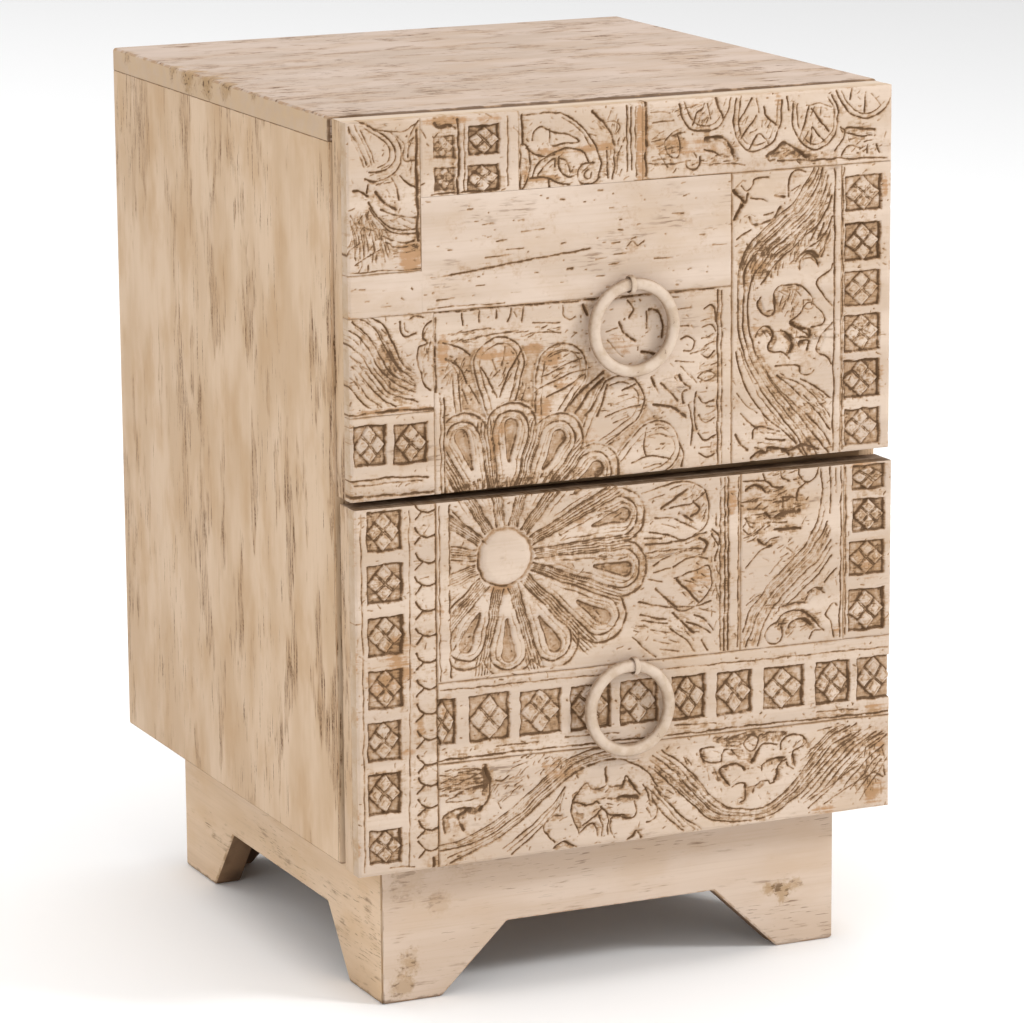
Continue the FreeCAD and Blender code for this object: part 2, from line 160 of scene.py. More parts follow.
def stainStreaks(tree, place, depthwise, grain, look, dust):
    # dark hairlines where the stain shows through, gathered in drifts
    scale, squeeze, begin, full = look["gather"]
    gather = speckle(tree, place, scale, lengthwise(grain, squeeze), 4.0, 0.6, shift=7.3)
    gather = ramp(tree, gather, begin, full, 0.0, look["hairStrength"])
    if look["frontLean"]:
        lean = ramp(tree, depthwise, -0.18, 0.16, 1.0, 1.0 - look["frontLean"])
        gather = times(tree, gather, lean)
    scale, squeeze = look["hair"]
    hair = speckle(tree, place, scale, lengthwise(grain, squeeze), 2.0, 0.5, shift=5.2)
    streak = times(tree, ramp(tree, hair, *look["hairCut"]), gather)
    if look["strand"]:
        # single crisp strands among the drifts
        scale, squeeze, begin, strength = look["strand"]
        strand = speckle(tree, place, scale, lengthwise(grain, squeeze), 2.0, 0.5, shift=9.7)
        patches = speckle(tree, place, 16.0, lengthwise(grain, 0.35), 3.0, 0.6, shift=11.3)
        patches = ramp(tree, patches, 0.44, 0.60, 0.0, strength)
        strand = times(tree, ramp(tree, strand, begin, begin + 0.03), patches)
        streak = calc(tree, "MAXIMUM", streak, strand)
    if look["breakUp"]:
        streak = times(tree, streak, ramp(tree, dust, 0.42, 0.55, 1.0 - look["breakUp"], 1.0))
    return gather, hair, streak


def limewash(name, grain, carved=False, **changes):
    look = {**limewashLook, **changes}
    finish, tree = blankFinish(name)
    spot = put(tree, "TexCoord")
    place = spot.outputs["Object"]
    where = put(tree, "SeparateXYZ", {0: place}).outputs
    turn = put(tree, "SeparateXYZ", {0: spot.outputs["Normal"]}).outputs
    turned = [unsigned(tree, turn[axis]) for axis in range(3)]
    grit = speckle(tree, place, 75.0, (1, 1, 1), 5.0, 0.65, shift=4.4)
    dust = speckle(tree, place, 420.0, (1, 1, 1), 3.0, 0.6, shift=8.4)
    # bands and clouds in the wash, with fine fibre lines
    bands = speckle(tree, place, look["bands"][0], lengthwise(grain, look["bands"][1]), 3.0)
    cloud = speckle(tree, place, 30.0, lengthwise(grain, 0.5), 4.0, shift=3.1)
    fibre = speckle(tree, place, 620.0, lengthwise(grain, 0.02), 2.0, shift=1.7)
    colour = tint(tree, ramp(tree, bands, 0.36, 0.64), look["cream"], look["shade"])
    colour = tint(tree, ramp(tree, cloud, 0.46, 0.70, 0.0, 0.6), colour, look["warm"])
    colour = tint(tree, ramp(tree, fibre, 0.46, 0.80, 0.0, 0.22), colour, look["fibre"])
    gather, hair, streak = stainStreaks(tree, place, where[1], grain, look, dust)
    endOn = ramp(tree, turned["xyz".index(grain)], 0.70, 0.92)
    if not carved:
        # no hairlines on end grain
        longOn = calc(tree, "SUBTRACT", 1.0, endOn)
        streak = times(tree, streak, longOn)
        gather = times(tree, gather, longOn)
    begin, full = look["hairCut"]
    glow = times(tree, gather, ramp(tree, hair, begin - 0.16, full, 0.35 * look["halo"], look["halo"]))
    colour = tint(tree, glow, colour, look["worn"])
    if not carved:
        tan = times(tree, endOn, ramp(tree, grit, 0.30, 0.66, 0.55, 0.95))
        colour = tint(tree, tan, colour, look["endTan"])
    colour = tint(tree, streak, colour, look["stainAndShade"])
    height = calc(tree, "ADD", times(tree, fibre, 0.30), times(tree, cloud, 0.5))
    height = calc(tree, "SUBTRACT", height, times(tree, streak, 0.9))
    if carved:
        # wood rubbed bare, and grime and painted shade in the cuts
        grime = put(tree, "Attribute", attribute_name="grime").outputs["Fac"]
        bare = put(tree, "Attribute", attribute_name="bare").outputs["Fac"]
        loose = calc(tree, "ADD", bare, ramp(tree, grit, 0.25, 0.75, -0.45, 0.45))
        loose = calc(tree, "ADD", loose, ramp(tree, fibre, 0.25, 0.75, -0.25, 0.25))
        colour = tint(tree, ramp(tree, loose, 0.40, 1.0, 0.0, 0.85), colour, look["golden"])
        patchy = calc(tree, "ADD", grime, ramp(tree, grit, 0.30, 0.70, -0.16, 0.16))
        patchy = calc(tree, "ADD", patchy, ramp(tree, dust, 0.30, 0.70, -0.10, 0.10))
        sideOn = ramp(tree, calc(tree, "MAXIMUM", turned[0], turned[2]), 0.93, 0.99, 0.0, 0.8)
        tan = times(tree, sideOn, ramp(tree, grit, 0.3, 0.66, 0.4, 1.0))
        colour = tint(tree, tan, colour, look["endTan"])
        # worn brown and stain over the grime attribute: grime and painted shade in the cuts
        colour = tint(tree, ramp(tree, patchy, 0.06, 0.66, 0.0, 0.88), colour, look["worn"])
        colour = tint(tree, ramp(tree, patchy, 0.52, 1.15, 0.0, 0.90), colour, look["stainAndShade"])
    else:
        # rubbed edges, and raw wood on faces that look inward, its dark brown partly painted shade
        flat = calc(tree, "MAXIMUM", calc(tree, "MAXIMUM", turned[0], turned[1]), turned[2])
        edge = ramp(tree, flat, 0.985, 0.90)
        edge = times(tree, edge, ramp(tree, grit, 0.44, 0.58, 0.0, look["edgeWear"]))
        colour = tint(tree, edge, colour, look["worn"])
        outward = calc(tree, "ADD", times(tree, where[0], turn[0]), times(tree, where[1], turn[1]))
        under = times(tree, calc(tree, "SUBTRACT", where[2], 0.35), turn[2])
        inner = calc(tree, "MAXIMUM", ramp(tree, outward, -0.004, -0.02), ramp(tree, under, -0.05, -0.15))
        rawAndShadeTone = tint(tree, ramp(tree, bands, 0.35, 0.65), look["raw"], look["rawDark"])
        feeds = {0: inner, 6: colour, 7: rawAndShadeTone}
        colour = put(tree, "Mix", feeds, data_type="RGBA").outputs[2]
    for axis, level, reach, strength, even in look["joints"]:
        # dirt and painted shade along the joint with the neighbouring board, but not on the face in the
        # joint itself
        axisIndex = "xyz".index(axis)
        away = unsigned(tree, calc(tree, "SUBTRACT", where[axisIndex], level))
        away = calc(tree, "ADD", away, ramp(tree, grit, 0.3, 0.7, -0.4 * reach, 0.6 * reach))
        dirtAndShade = ramp(tree, away, reach, 0.25 * reach, 0.0, strength)
        dirtAndShade = times(tree, dirtAndShade, ramp(tree, cloud, 0.40, 0.58, even, 1.0))
        dirtAndShade = times(tree, dirtAndShade, ramp(tree, turned[axisIndex], 0.97, 0.85))
        colour = tint(tree, dirtAndShade, colour, look["stainAndShade"])
    if look["topShadeAndDirt"]:
        # painted shade with some dirt: up-facing faces low on the fronts, in the gap under the upper
        # drawer front, are darkened
        upward = times(tree, ramp(tree, turn[2], 0.75, 0.96), ramp(tree, where[2], 0.42, 0.40))
        dirtAndShade = ramp(tree, grit, 0.28, 0.60, 0.6 * look["topShadeAndDirt"], look["topShadeAndDirt"])
        colour = tint(tree, times(tree, upward, dirtAndShade), colour, look["stainAndShade"])
    streakGrit = speckle(tree, place, 300.0, lengthwise(grain, 0.35), 3.0, 0.6, shift=12.6)
    for middle, reach, strength in look["scuffs"]:
        away = put(tree, "VectorMath", {0: place, 1: middle}, operation="DISTANCE").outputs["Value"]
        away = calc(tree, "ADD", away, ramp(tree, grit, 0.2, 0.8, -0.9 * reach, 0.9 * reach))
        away = calc(tree, "ADD", away, ramp(tree, dust, 0.2, 0.8, -0.4 * reach, 0.4 * reach))
        rubbed = ramp(tree, away, 1.7 * reach, 0.3 * reach, 0.0, strength)
        colour = tint(tree, rubbed, colour, look["scuff"])
        crumbs = ramp(tree, away, 1.5 * reach, 0.5 * reach, 0.0, strength)
        crumbs = times(tree, crumbs, ramp(tree, streakGrit, 0.54, 0.62))
        colour = tint(tree, crumbs, colour, look["stainAndShade"])
    rough = ramp(tree, cloud, 0.3, 0.7, look["roughness"] - 0.08, look["roughness"] + 0.10)
    coat(tree, colour, rough, 0.28, height, 0.45, 0.6 * mm)
    return finish


bareWoodLook = {
    "light": (0.400, 0.255, 0.140),
    "dark": (0.270, 0.155, 0.078),
    "vein": (0.120, 0.066, 0.032),
}


def bareWood(name, grain):
    look = bareWoodLook
    finish, tree = blankFinish(name)
    place = put(tree, "TexCoord").outputs["Object"]
    bands = speckle(tree, place, 42.0, lengthwise(grain, 0.06), 5.0, 0.6)
    fibre = speckle(tree, place, 480.0, lengthwise(grain, 0.02), 2.0, shift=2.2)
    pores = speckle(tree, place, 620.0, lengthwise(grain, 0.06), 2.0, 0.5, shift=6.1)
    colour = tint(tree, ramp(tree, bands, 0.35, 0.68), look["light"], look["dark"])
    colour = tint(tree, ramp(tree, fibre, 0.45, 0.75, 0.0, 0.35), colour, look["dark"])
    colour = tint(tree, ramp(tree, pores, 0.62, 0.70, 0.0, 0.75), colour, look["vein"])
    height = calc(tree, "SUBTRACT", times(tree, fibre, 0.4), ramp(tree, pores, 0.60, 0.70))
    coat(tree, colour, ramp(tree, bands, 0.3, 0.7, 0.66, 0.82), 0.25, height, 0.4, 0.5 * mm)
    return finish


paintedIronLook = {
    "paint": (0.560, 0.444, 0.348),
    "shade": (0.455, 0.338, 0.240),
    "chip": (0.170, 0.100, 0.055),
    "grime": (0.250, 0.158, 0.092),
}


def paintedIron(name):
    look = paintedIronLook
    finish, tree = blankFinish(name)
    spot = put(tree, "TexCoord")
    place = spot.outputs["Object"]
    facing = put(tree, "SeparateXYZ", {0: spot.outputs["Normal"]}).outputs[1]
    cloud = speckle(tree, place, 90.0, (1, 1, 1), 4.0)
    grit = speckle(tree, place, 330.0, (1, 1, 1), 5.0, 0.7, shift=2.9)
    chips = times(tree, ramp(tree, grit, 0.62, 0.68), ramp(tree, cloud, 0.48, 0.62))
    colour = tint(tree, ramp(tree, cloud, 0.38, 0.66), look["paint"], look["shade"])
    # grime and painted shade along the flanks, where the wire turns sideways to the front
    flank = ramp(tree, unsigned(tree, facing), 0.82, 0.25, 0.0, 0.85)
    flank = times(tree, flank, ramp(tree, grit, 0.30, 0.62, 0.5, 1.0))
    colour = tint(tree, flank, colour, look["grime"])
    colour = tint(tree, ramp(tree, chips, 0.1, 0.6, 0.0, 0.85), colour, look["chip"])
    height = calc(tree, "SUBTRACT", times(tree, grit, 0.35), chips)
    coat(tree, colour, ramp(tree, grit, 0.3, 0.7, 0.48, 0.66), 0.45, height, 0.3, 0.4 * mm)
    return finish


sideTones = {
    "cream": (0.606, 0.446, 0.308),
    "shade": (0.522, 0.363, 0.228),
    "warm": (0.470, 0.302, 0.166),
    "stainAndShade": (0.112, 0.053, 0.018),
    "bands": (26.0, 0.40),
    "hair": (700.0, 0.048),
    "hairCut": (0.545, 0.570),
    "hairStrength": 1.0,
    "gather": (46.0, 0.20, 0.53, 0.61),
    "strand": (620.0, 0.045, 0.640, 0.95),
    "halo": 0.68,
    "breakUp": 0.7,
    "frontLean": 0.35,
    "joints": (
        ("z", 0.5845, 0.0007, 0.75, 0.45),
        ("y", frontY + 0.0012, 0.0005, 0.75, 0.45),
        # painted shadow: a darker line along the side's foot, where it stands on the plinth
        ("z", 0.1025, 0.0014, 0.6, 0.45),
    ),
}
topTones = {
    "cream": (0.490, 0.383, 0.314),
    "shade": (0.420, 0.320, 0.250),
    "warm": (0.428, 0.314, 0.231),
    "endTan": (0.500, 0.350, 0.215),
    "bands": (26.0, 0.40),
    "hair": (400.0, 0.120),
    "hairCut": (0.562, 0.592),
    "hairStrength": 1.0,
    "gather": (40.0, 0.45, 0.50, 0.60),
    "strand": (420.0, 0.130, 0.618, 0.95),
    "halo": 0.40,
    "breakUp": 0.55,
    "scuffs": (
        ((-0.2, 0.100, 0.599), 0.006, 0.7),
        ((-0.2, 0.070, 0.599), 0.010, 0.9),
        ((-0.2, 0.035, 0.599), 0.011, 0.9),
        ((-0.2, 0.000, 0.599), 0.007, 0.8),
        ((-0.2, -0.050, 0.599), 0.004, 0.6),
        ((-0.2, 0.190, 0.598), 0.005, 0.5),
    ),
    # painted shade with some dirt: a dark band along the top's front edge, for the gap behind the drawer
    # front
    "joints": (("y", frontY, 0.0048, 0.95, 0.9),),
}
plinthTones = {
    "cream": (0.600, 0.476, 0.380),
    "shade": (0.540, 0.412, 0.312),
    "warm": (0.530, 0.390, 0.276),
    "hair": (700.0, 0.06),
    "hairStrength": 0.60,
    "gather": (50.0, 0.40, 0.55, 0.70),
    "strand": (1000.0, 0.07, 0.64, 0.5),
    "scuffs": (
        ((-0.150, frontY, 0.028), 0.007, 0.65),
        ((-0.128, frontY, 0.064), 0.007, 0.30),
        ((0.120, frontY, 0.041), 0.004, 0.7),
        ((0.130, frontY, 0.039), 0.005, 0.75),
        ((0.141, frontY, 0.042), 0.004, 0.6),
        ((-0.156, frontY, 0.010), 0.006, 0.6),
        # the two broad patches high on the left, under the drawer front, are partly painted shadow and
        # partly grime
        ((-0.150, frontY, 0.090), 0.014, 0.28),
        ((-0.110, frontY, 0.096), 0.010, 0.22),
    ),
    "joints": (
        ("z", 0.0005, 0.0030, 0.7, 0.45),
        ("x", -0.1700, 0.0012, 0.6, 0.45),
        ("x", 0.1703, 0.0008, 0.4, 0.45),
        # painted shadow: a darker band along the plinth's top, under the overhanging drawer front
        ("z", 0.1005, 0.006, 0.35, 0.45),
    ),
}
plinthSideTones = {
    **plinthTones,
    "cream": (0.680, 0.505, 0.350),
    "shade": (0.600, 0.425, 0.270),
    "warm": (0.600, 0.410, 0.240),
    "scuffs": (),
    "joints": (
        ("z", 0.0005, 0.0030, 0.7, 0.45),
        ("y", frontY + 0.0008, 0.0012, 0.6, 0.45),
        # painted shadow: a darker line along the plinth side's top, under the carcass side
        ("z", 0.1012, 0.002, 0.4, 0.45),
    ),
}
edgeTones = {
    **sideTones,
    "cream": (0.560, 0.412, 0.290),
    "endTan": (0.545, 0.436, 0.340),
    "frontLean": 0.0,
    "topShadeAndDirt": 0.85,
    "joints": (),
}
plainTones = {
    "hair": (560.0, 0.12),
    "hairStrength": 0.5,
    "gather": (34.0, 0.5, 0.53, 0.68),
}
carvedTones = {
    **plainTones,
    "cream": (0.585, 0.463, 0.366),
    "hairStrength": 0.6,
    "gather": (34.0, 0.5, 0.60, 0.74),
    "topShadeAndDirt": 0.85,
}
finishes = {
    "top": limewash("limewash_top", "x", **topTones),
    "side": limewash("limewash_side", "z", **sideTones),
    "plinthFront": limewash("limewash_plinth_front", "x", **plinthTones),
    "plinthSide": limewash("limewash_plinth_side", "y", **plinthSideTones),
    "frontEdge": limewash("limewash_front_edge", "z", **edgeTones),
    "plain": limewash("limewash_plain", "x", carved=True, **plainTones),
    "carved": limewash("limewash_carved", "x", carved=True, **carvedTones),
    "iron": paintedIron("painted_iron_cream"),
    "bareX": bareWood("bare_wood_across", "x"),
    "bareY": bareWood("bare_wood_deep", "y"),
    "bareZ": bareWood("bare_wood_upright", "z"),
}
print("finishes made:", len(finishes))


# plain boards: copies of the joined boards with their edges eased

boardWays = {"steps": 3, "flatAngle": 0.5, "creaseAngle": 30.0, "smoothAngle": 42.0, "weld": 0.01 * mm}
# each board's new name, body, finish and how far its edges are eased
plainBoards = {
    "top_panel": ("top_board", "carcass", "top", 1.3 * mm),
    "left_side_panel": ("left_side_board", "carcass", "side", 0.7 * mm),
    "right_side_panel": ("right_side_board", "carcass", "side", 0.7 * mm),
    "plinth_front": ("plinth_front_board", "carcass", "plinthFront", 1.8 * mm),
    "plinth_back": ("plinth_back_board", "carcass", "plinthFront", 1.8 * mm),
    "plinth_left": ("plinth_left_board", "carcass", "plinthSide", 1.8 * mm),
    "plinth_right": ("plinth_right_board", "carcass", "plinthSide", 1.8 * mm),
    "upper_front_board": ("upper_front_backing", "upper_drawer", "frontEdge", 0.6 * mm),
    "lower_front_board": ("lower_front_backing", "lower_drawer", "frontEdge", 0.6 * mm),
}


def easedBoard(node, name, body, finish, ease):
    piece = bpy.data.objects.new(name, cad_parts[node].data.copy())
    bpy.context.scene.collection.objects.link(piece)
    takeUp(piece)
    bpy.ops.object.mode_set(mode="EDIT")
    bpy.ops.mesh.select_all(action="SELECT")
    bpy.ops.mesh.remove_doubles(threshold=boardWays["weld"])
    bpy.ops.mesh.dissolve_limited(angle_limit=math.radians(boardWays["flatAngle"]))
    bpy.ops.object.mode_set(mode="OBJECT")
    rounding = piece.modifiers.new("easing", "BEVEL")
    rounding.width = ease
    rounding.segments = boardWays["steps"]
    rounding.limit_method = "ANGLE"
    rounding.angle_limit = math.radians(boardWays["creaseAngle"])
    bpy.ops.object.modifier_apply(modifier=rounding.name)
    bpy.ops.object.shade_smooth_by_angle(angle=math.radians(boardWays["smoothAngle"]))
    return settle(piece, name, body, "whitewashed_wood", finishes[finish], node)


for boardNode, boardPlan in plainBoards.items():
    easedBoard(boardNode, *boardPlan)
print("plain boards eased:", len(plainBoards))


# carving: every block is a fine grid pressed into relief, in millimetres across and down the front

carvingWays = {
    "gridStep": 0.55,
    "plainStep": 0.65,
    "joint": 0.10,
    "waver": ((16.0, 0.35), (5.0, 0.12)),  # how strokes stray: pitch and reach
    "edgeRound": 1.4,
    "edgeDrop": 1.0,
    "broad": (5.2, 0.8),
    "fine": (1.10, 1.05),
    "line": (1.40, 1.55),
    "pit": (3.5, 1.1),
    "hatch": (1.0, 0.9),
    "bold": (2.15, 2.0),
    "nick": (1.0, 0.6),
    "nickArea": 64.0,
    "speckArea": 170.0,
    "cellDepth": 2.8,
    "petalGround": 0.6,
}
# how plainly each glued joint shows: left, right, top, bottom
jointShows = {
    "upper_corner_petal": (0, 0.5, 0, 0.8),
    "upper_small_lattice": (0.4, 0.5, 0, 0.1),
    "upper_scroll": (0.5, 0.4, 0, 0.1),
    "upper_petal_frieze": (0.7, 0, 0, 0.8),
    "upper_plain_board": (0.01, 0.9, 0.1, 0.8),
    "upper_plain_block": (0, 0.01, 0.8, 0.5),
    "upper_left_wave": (0, 0.5, 0.5, 0.6),
    "upper_left_lattice": (0, 0.6, 0.6, 0.3),
    "upper_rosette": (0.5, 0.8, 0.8, 0.3),
    "upper_wave_band": (0.9, 0.6, 0.7, 0.2),
    "upper_right_lattice": (0.6, 0, 0.5, 0.2),
    "lower_left_lattice": (0, 1.0, 0.2, 0),
    "lower_rosette": (1.0, 0.8, 0.2, 0.7),
    "lower_wave_band": (0.8, 0.6, 0.2, 0.7),
    "lower_right_lattice": (0.6, 0, 0.2, 0.7),
    "lower_lattice_band": (1.0, 0, 0.7, 0.9),
    "lower_wave_border": (1.0, 0, 0.9, 0),
}
frontLines = {  # joints of the lower front that fall to the right: from, level, to, level
    "frontTop": (0.0, 0.0, 396.0, 4.0),
    "bandTop": (57.5, 122.0, 396.0, 126.0),
    "bandBottom": (57.5, 177.0, 396.0, 182.5),
}
slopedBlocks = {
    "lower_left_lattice": ("frontTop", None),
    "lower_rosette": ("frontTop", "bandTop"),
    "lower_wave_band": ("frontTop", "bandTop"),
    "lower_right_lattice": ("frontTop", "bandTop"),
    "lower_lattice_band": ("bandTop", "bandBottom"),
    "lower_wave_border": ("bandBottom", None),
}


def smooth(x):
    x = np.clip(x, 0.0, 1.0)
    return x * x * (3.0 - 2.0 * x)


def ripple(u, v, seed, wave, size):
    # a gentle unevenness, the same on every run
    draw = np.random.default_rng(seed)
    total = np.zeros_like(u)
    for _ in range(6):
        angle, phase = draw.uniform(0.0, 2.0 * math.pi, 2)
        pitch = wave * draw.uniform(0.6, 1.6)
        total += np.sin((u * math.cos(angle) + v * math.sin(angle)) * 2.0 * math.pi / pitch + phase)
    return total * size / 2.4


def bend(text, parts=6):
    # a smooth stroke through the points given across and down
    knots = np.array([[float(n) for n in pair.split(",")] for pair in text.split()])
    ends = np.vstack([2 * knots[0] - knots[1], knots, 2 * knots[-1] - knots[-2]])
    t = np.linspace(0.0, 1.0, parts, endpoint=False)[:, None]
    runs = []
    for a, b, c, d in zip(ends, ends[1:], ends[2:], ends[3:]):
        course = 2 * b + (c - a) * t + (2 * a - 5 * b + 4 * c - d) * t ** 2
        runs.append(0.5 * (course + (3 * b - a - 3 * c + d) * t ** 3))
    return np.vstack(runs + [knots[-1:]])


def sheaf(first, last, count, draw):
    # strokes that pass evenly from the first into the last
    stops = 26
    ends = []
    for text in (first, last):
        path = bend(text)
        run = np.concatenate([[0.0], np.cumsum(np.hypot(*np.diff(path, axis=0).T))])
        at = np.linspace(0.0, run[-1], stops)
        ends.append(np.stack([np.interp(at, run, path[:, 0]), np.interp(at, run, path[:, 1])], 1))
    for k in range(count):
        share = (k + 0.5 + draw.uniform(-0.15, 0.15)) / count
        start, stop = draw.integers(0, 5), stops - draw.integers(0, 5)
        yield (ends[0] * (1.0 - share) + ends[1] * share)[start:stop]


def startCarving(block, step):
    low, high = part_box(block)
    drawer = block.split("_")[0]
    boardLow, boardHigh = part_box(f"{drawer}_front_board")
    gaps = [carvingWays["joint"] * min(1.0, 10.0 * shows) for shows in jointShows[block]]
    left = (low.x - boardLow.x) / mm + gaps[0]
    right = (high.x - boardLow.x) / mm - gaps[1]
    across = np.linspace(left, right, max(2, round((right - left) / step)) + 1)

    def level(line, flat):
        if not line:
            return np.full_like(across, flat)
        u0, v0, u1, v1 = frontLines[line]
        return v0 + (v1 - v0) * (across - u0) / (u1 - u0)

    topLine, bottomLine = slopedBlocks.get(block, (None, None))
    top = level(topLine, (boardHigh.z - high.z) / mm) + gaps[2]
    bottom = level(bottomLine, (boardHigh.z - low.z) / mm) - gaps[3]
    rows = max(2, round(float(np.max(bottom - top)) / step)) + 1
    t = np.linspace(0.0, 1.0, rows)[:, None]
    u = np.repeat(across[None, :], rows, 0)
    v = top[None, :] * (1.0 - t) + bottom[None, :] * t
    seed = sum(ord(letter) for letter in block)

    def strayed(field, firstSeed):
        for k, (pitch, reach) in enumerate(carvingWays["waver"]):
            field = field + ripple(u, v, firstSeed + k, pitch, reach)
        return field

    return {
        "block": block, "seed": seed, "u": u, "v": v, "lines": np.zeros_like(u), "sunk": np.zeros_like(u),
        "cells": np.zeros_like(u), "pits": np.zeros_like(u),
        "cutU": strayed(u, seed), "cutV": strayed(v, seed + 2),
        "sides": (u - left, right - u, v - top[None, :], bottom[None, :] - v),
        "origin": (boardLow.x, boardHigh.z), "face": low.y, "back": high.y,
    }


def window(carving, lowU, highU, lowV, highV):
    # the part of the grid around a motif
    u, v = carving["u"][0], carving["v"]
    cols = slice(*np.searchsorted(u, (lowU, highU)))
    rows = slice(int(np.searchsorted(v.max(1), lowV)), int(np.searchsorted(v.min(1), highV)))
    return rows, cols


def ridge(away, width):
    # a V cut in the middle of a worn valley
    cut = np.clip(1.15 - away / (width / 2.0), 0.0, 1.0)
    valley = smooth(1.0 - away / (1.5 * width))
    return 0.65 * cut + 0.35 * valley


def nearStroke(carving, path, margin):
    # the part of the grid around a stroke, and how far each of its points lies from it
    path = np.asarray(path, float)
    area = window(carving, path[:, 0].min() - margin, path[:, 0].max() + margin,
                  path[:, 1].min() - margin, path[:, 1].max() + margin)
    u, v = carving["cutU"][area], carving["cutV"][area]
    nearest = np.full(u.shape, 1e9)
    for (au, av), (bu, bv) in zip(path, path[1:]):
        du, dv = bu - au, bv - av
        t = np.clip(((u - au) * du + (v - av) * dv) / (du * du + dv * dv + 1e-9), 0.0, 1.0)
        nearest = np.minimum(nearest, (u - au - t * du) ** 2 + (v - av - t * dv) ** 2)
    return area, np.sqrt(nearest)


def groove(carving, path, width, depth, fade=None, soft=False):
    area, nearest = nearStroke(carving, path, 2.6 * width)
    cut = depth * (smooth(1.0 - 2.0 * nearest / width) if soft else ridge(nearest, width))
    if fade is not None:
        cut = cut * fade[area]
    carving["lines"][area] = np.maximum(carving["lines"][area], cut)


def pit(carving, path, fade):
    # a flat-bottomed recess between two lobes, darkened with stain and painted shade
    width, depth = carvingWays["pit"]
    area, nearest = nearStroke(carving, path, 2.0 * width)
    inside = smooth((width / 2.0 - nearest) / 1.2 + 0.5) * fade[area]
    carving["sunk"][area] = np.maximum(carving["sunk"][area], depth * inside)
    carving["pits"][area] = np.maximum(carving["pits"][area], inside)
    rim = 0.5 * ridge(np.abs(nearest - width / 2.0), 1.0) * fade[area]
    carving["lines"][area] = np.maximum(carving["lines"][area], rim)


def hatch(carving, spotU, spotV, reachU, reachV, angle, count, draw):
    # short chisel strokes side by side
    width, depth = carvingWays["hatch"]
    for _ in range(count):
        turn, away = draw.uniform(0.0, 2.0 * math.pi), math.sqrt(draw.uniform())
        at = np.array([spotU + reachU * away * math.cos(turn), spotV + reachV * away * math.sin(turn)])
        lean = math.radians(angle) + draw.normal(0.0, 0.2)
        way = np.array([math.cos(lean), -math.sin(lean)]) * draw.uniform(1.2, 3.8)
        groove(carving, [at - way, at + way], width, depth * draw.uniform(0.5, 1.2))


def latticeCell(carving, left, right, top, bottom, share, draw):
    # a sunk square that leaves four diamonds standing, point to point
    left, right, top, bottom = (side + draw.uniform(-0.5, 0.5) for side in (left, right, top, bottom))
    lean = draw.uniform(-0.05, 0.05)
    area = window(carving, left - 3, right + 3, top - 3, bottom + 3)
    u, v = carving["cutU"][area], carving["cutV"][area]
    halfU, halfV = (right - left) / 2.0, (bottom - top) / 2.0
    p, q = (u - left) / halfU - 1.0, (v - top) / halfV - 1.0
    rim = np.minimum((1.0 - np.abs(p)) * halfU, (1.0 - np.abs(q)) * halfV)
    p, q = p + lean * q + draw.uniform(-0.05, 0.05), q - lean * p + draw.uniform(-0.05, 0.05)
    a, b = np.abs(p + q), np.abs(p - q)
    scale = min(halfU, halfV) / math.sqrt(2.0)
    cross = np.minimum(a, b) * scale
    border = (1.0 - np.maximum(a, b)) * scale
    stand = smooth(border / 1.5 + 0.25)
    worn = draw.uniform(0.72, 1.0) * share
    floor = carvingWays["cellDepth"] * smooth(rim / 1.2 + 0.3)
    crown = 0.5 * (1.0 - smooth(np.minimum(cross, border) / 3.0))
    cut = floor * (1.0 - stand * draw.uniform(0.80, 0.94)) + crown * stand
    inside = rim > -0.7
    carving["sunk"][area] = np.maximum(carving["sunk"][area], np.where(inside, cut * worn, 0.0))
    lines = 1.5 * ridge(np.abs(cross - 0.5), 1.0) * stand + 1.0 * ridge(np.abs(border - 0.2), 1.1)
    # painted shadow: the rim cut runs deeper, and so darker, along the cell's top and right sides
    shadowSideWeight = np.where(p - q > 0.0, draw.uniform(0.8, 1.5), draw.uniform(0.6, 1.2))
    lines = np.maximum(lines, shadowSideWeight * ridge(np.abs(rim - 0.4), 1.3))
    lines = np.maximum(lines, 0.6 * ridge(np.abs(np.minimum(cross, border) - 2.4), 0.9) * stand)
    carving["cells"][area] = np.maximum(carving["cells"][area], inside * draw.uniform(0.5, 1.2))
    carving["lines"][area] = np.maximum(carving["lines"][area], np.where(inside, lines * worn, 0.0))


def petalDistance(u, v, hub, angle, start, end, near, far):
    # how far a point lies outside a petal that widens away from the hub
    turn = math.radians(angle)
    along = (u - hub[0]) * math.cos(turn) - (v - hub[1]) * math.sin(turn) - start
    across = np.abs((u - hub[0]) * math.sin(turn) + (v - hub[1]) * math.cos(turn))
    length = end - start
    lean = (near - far) / length
    run = math.sqrt(1.0 - lean * lean)
    side = run * across + lean * along - near
    ahead = run * along - lean * across
    tip = np.hypot(across, along - length) - far
    foot = np.hypot(across, along) - near
    return np.where(ahead < 0.0, foot, np.where(ahead > run * length, tip, side)), along


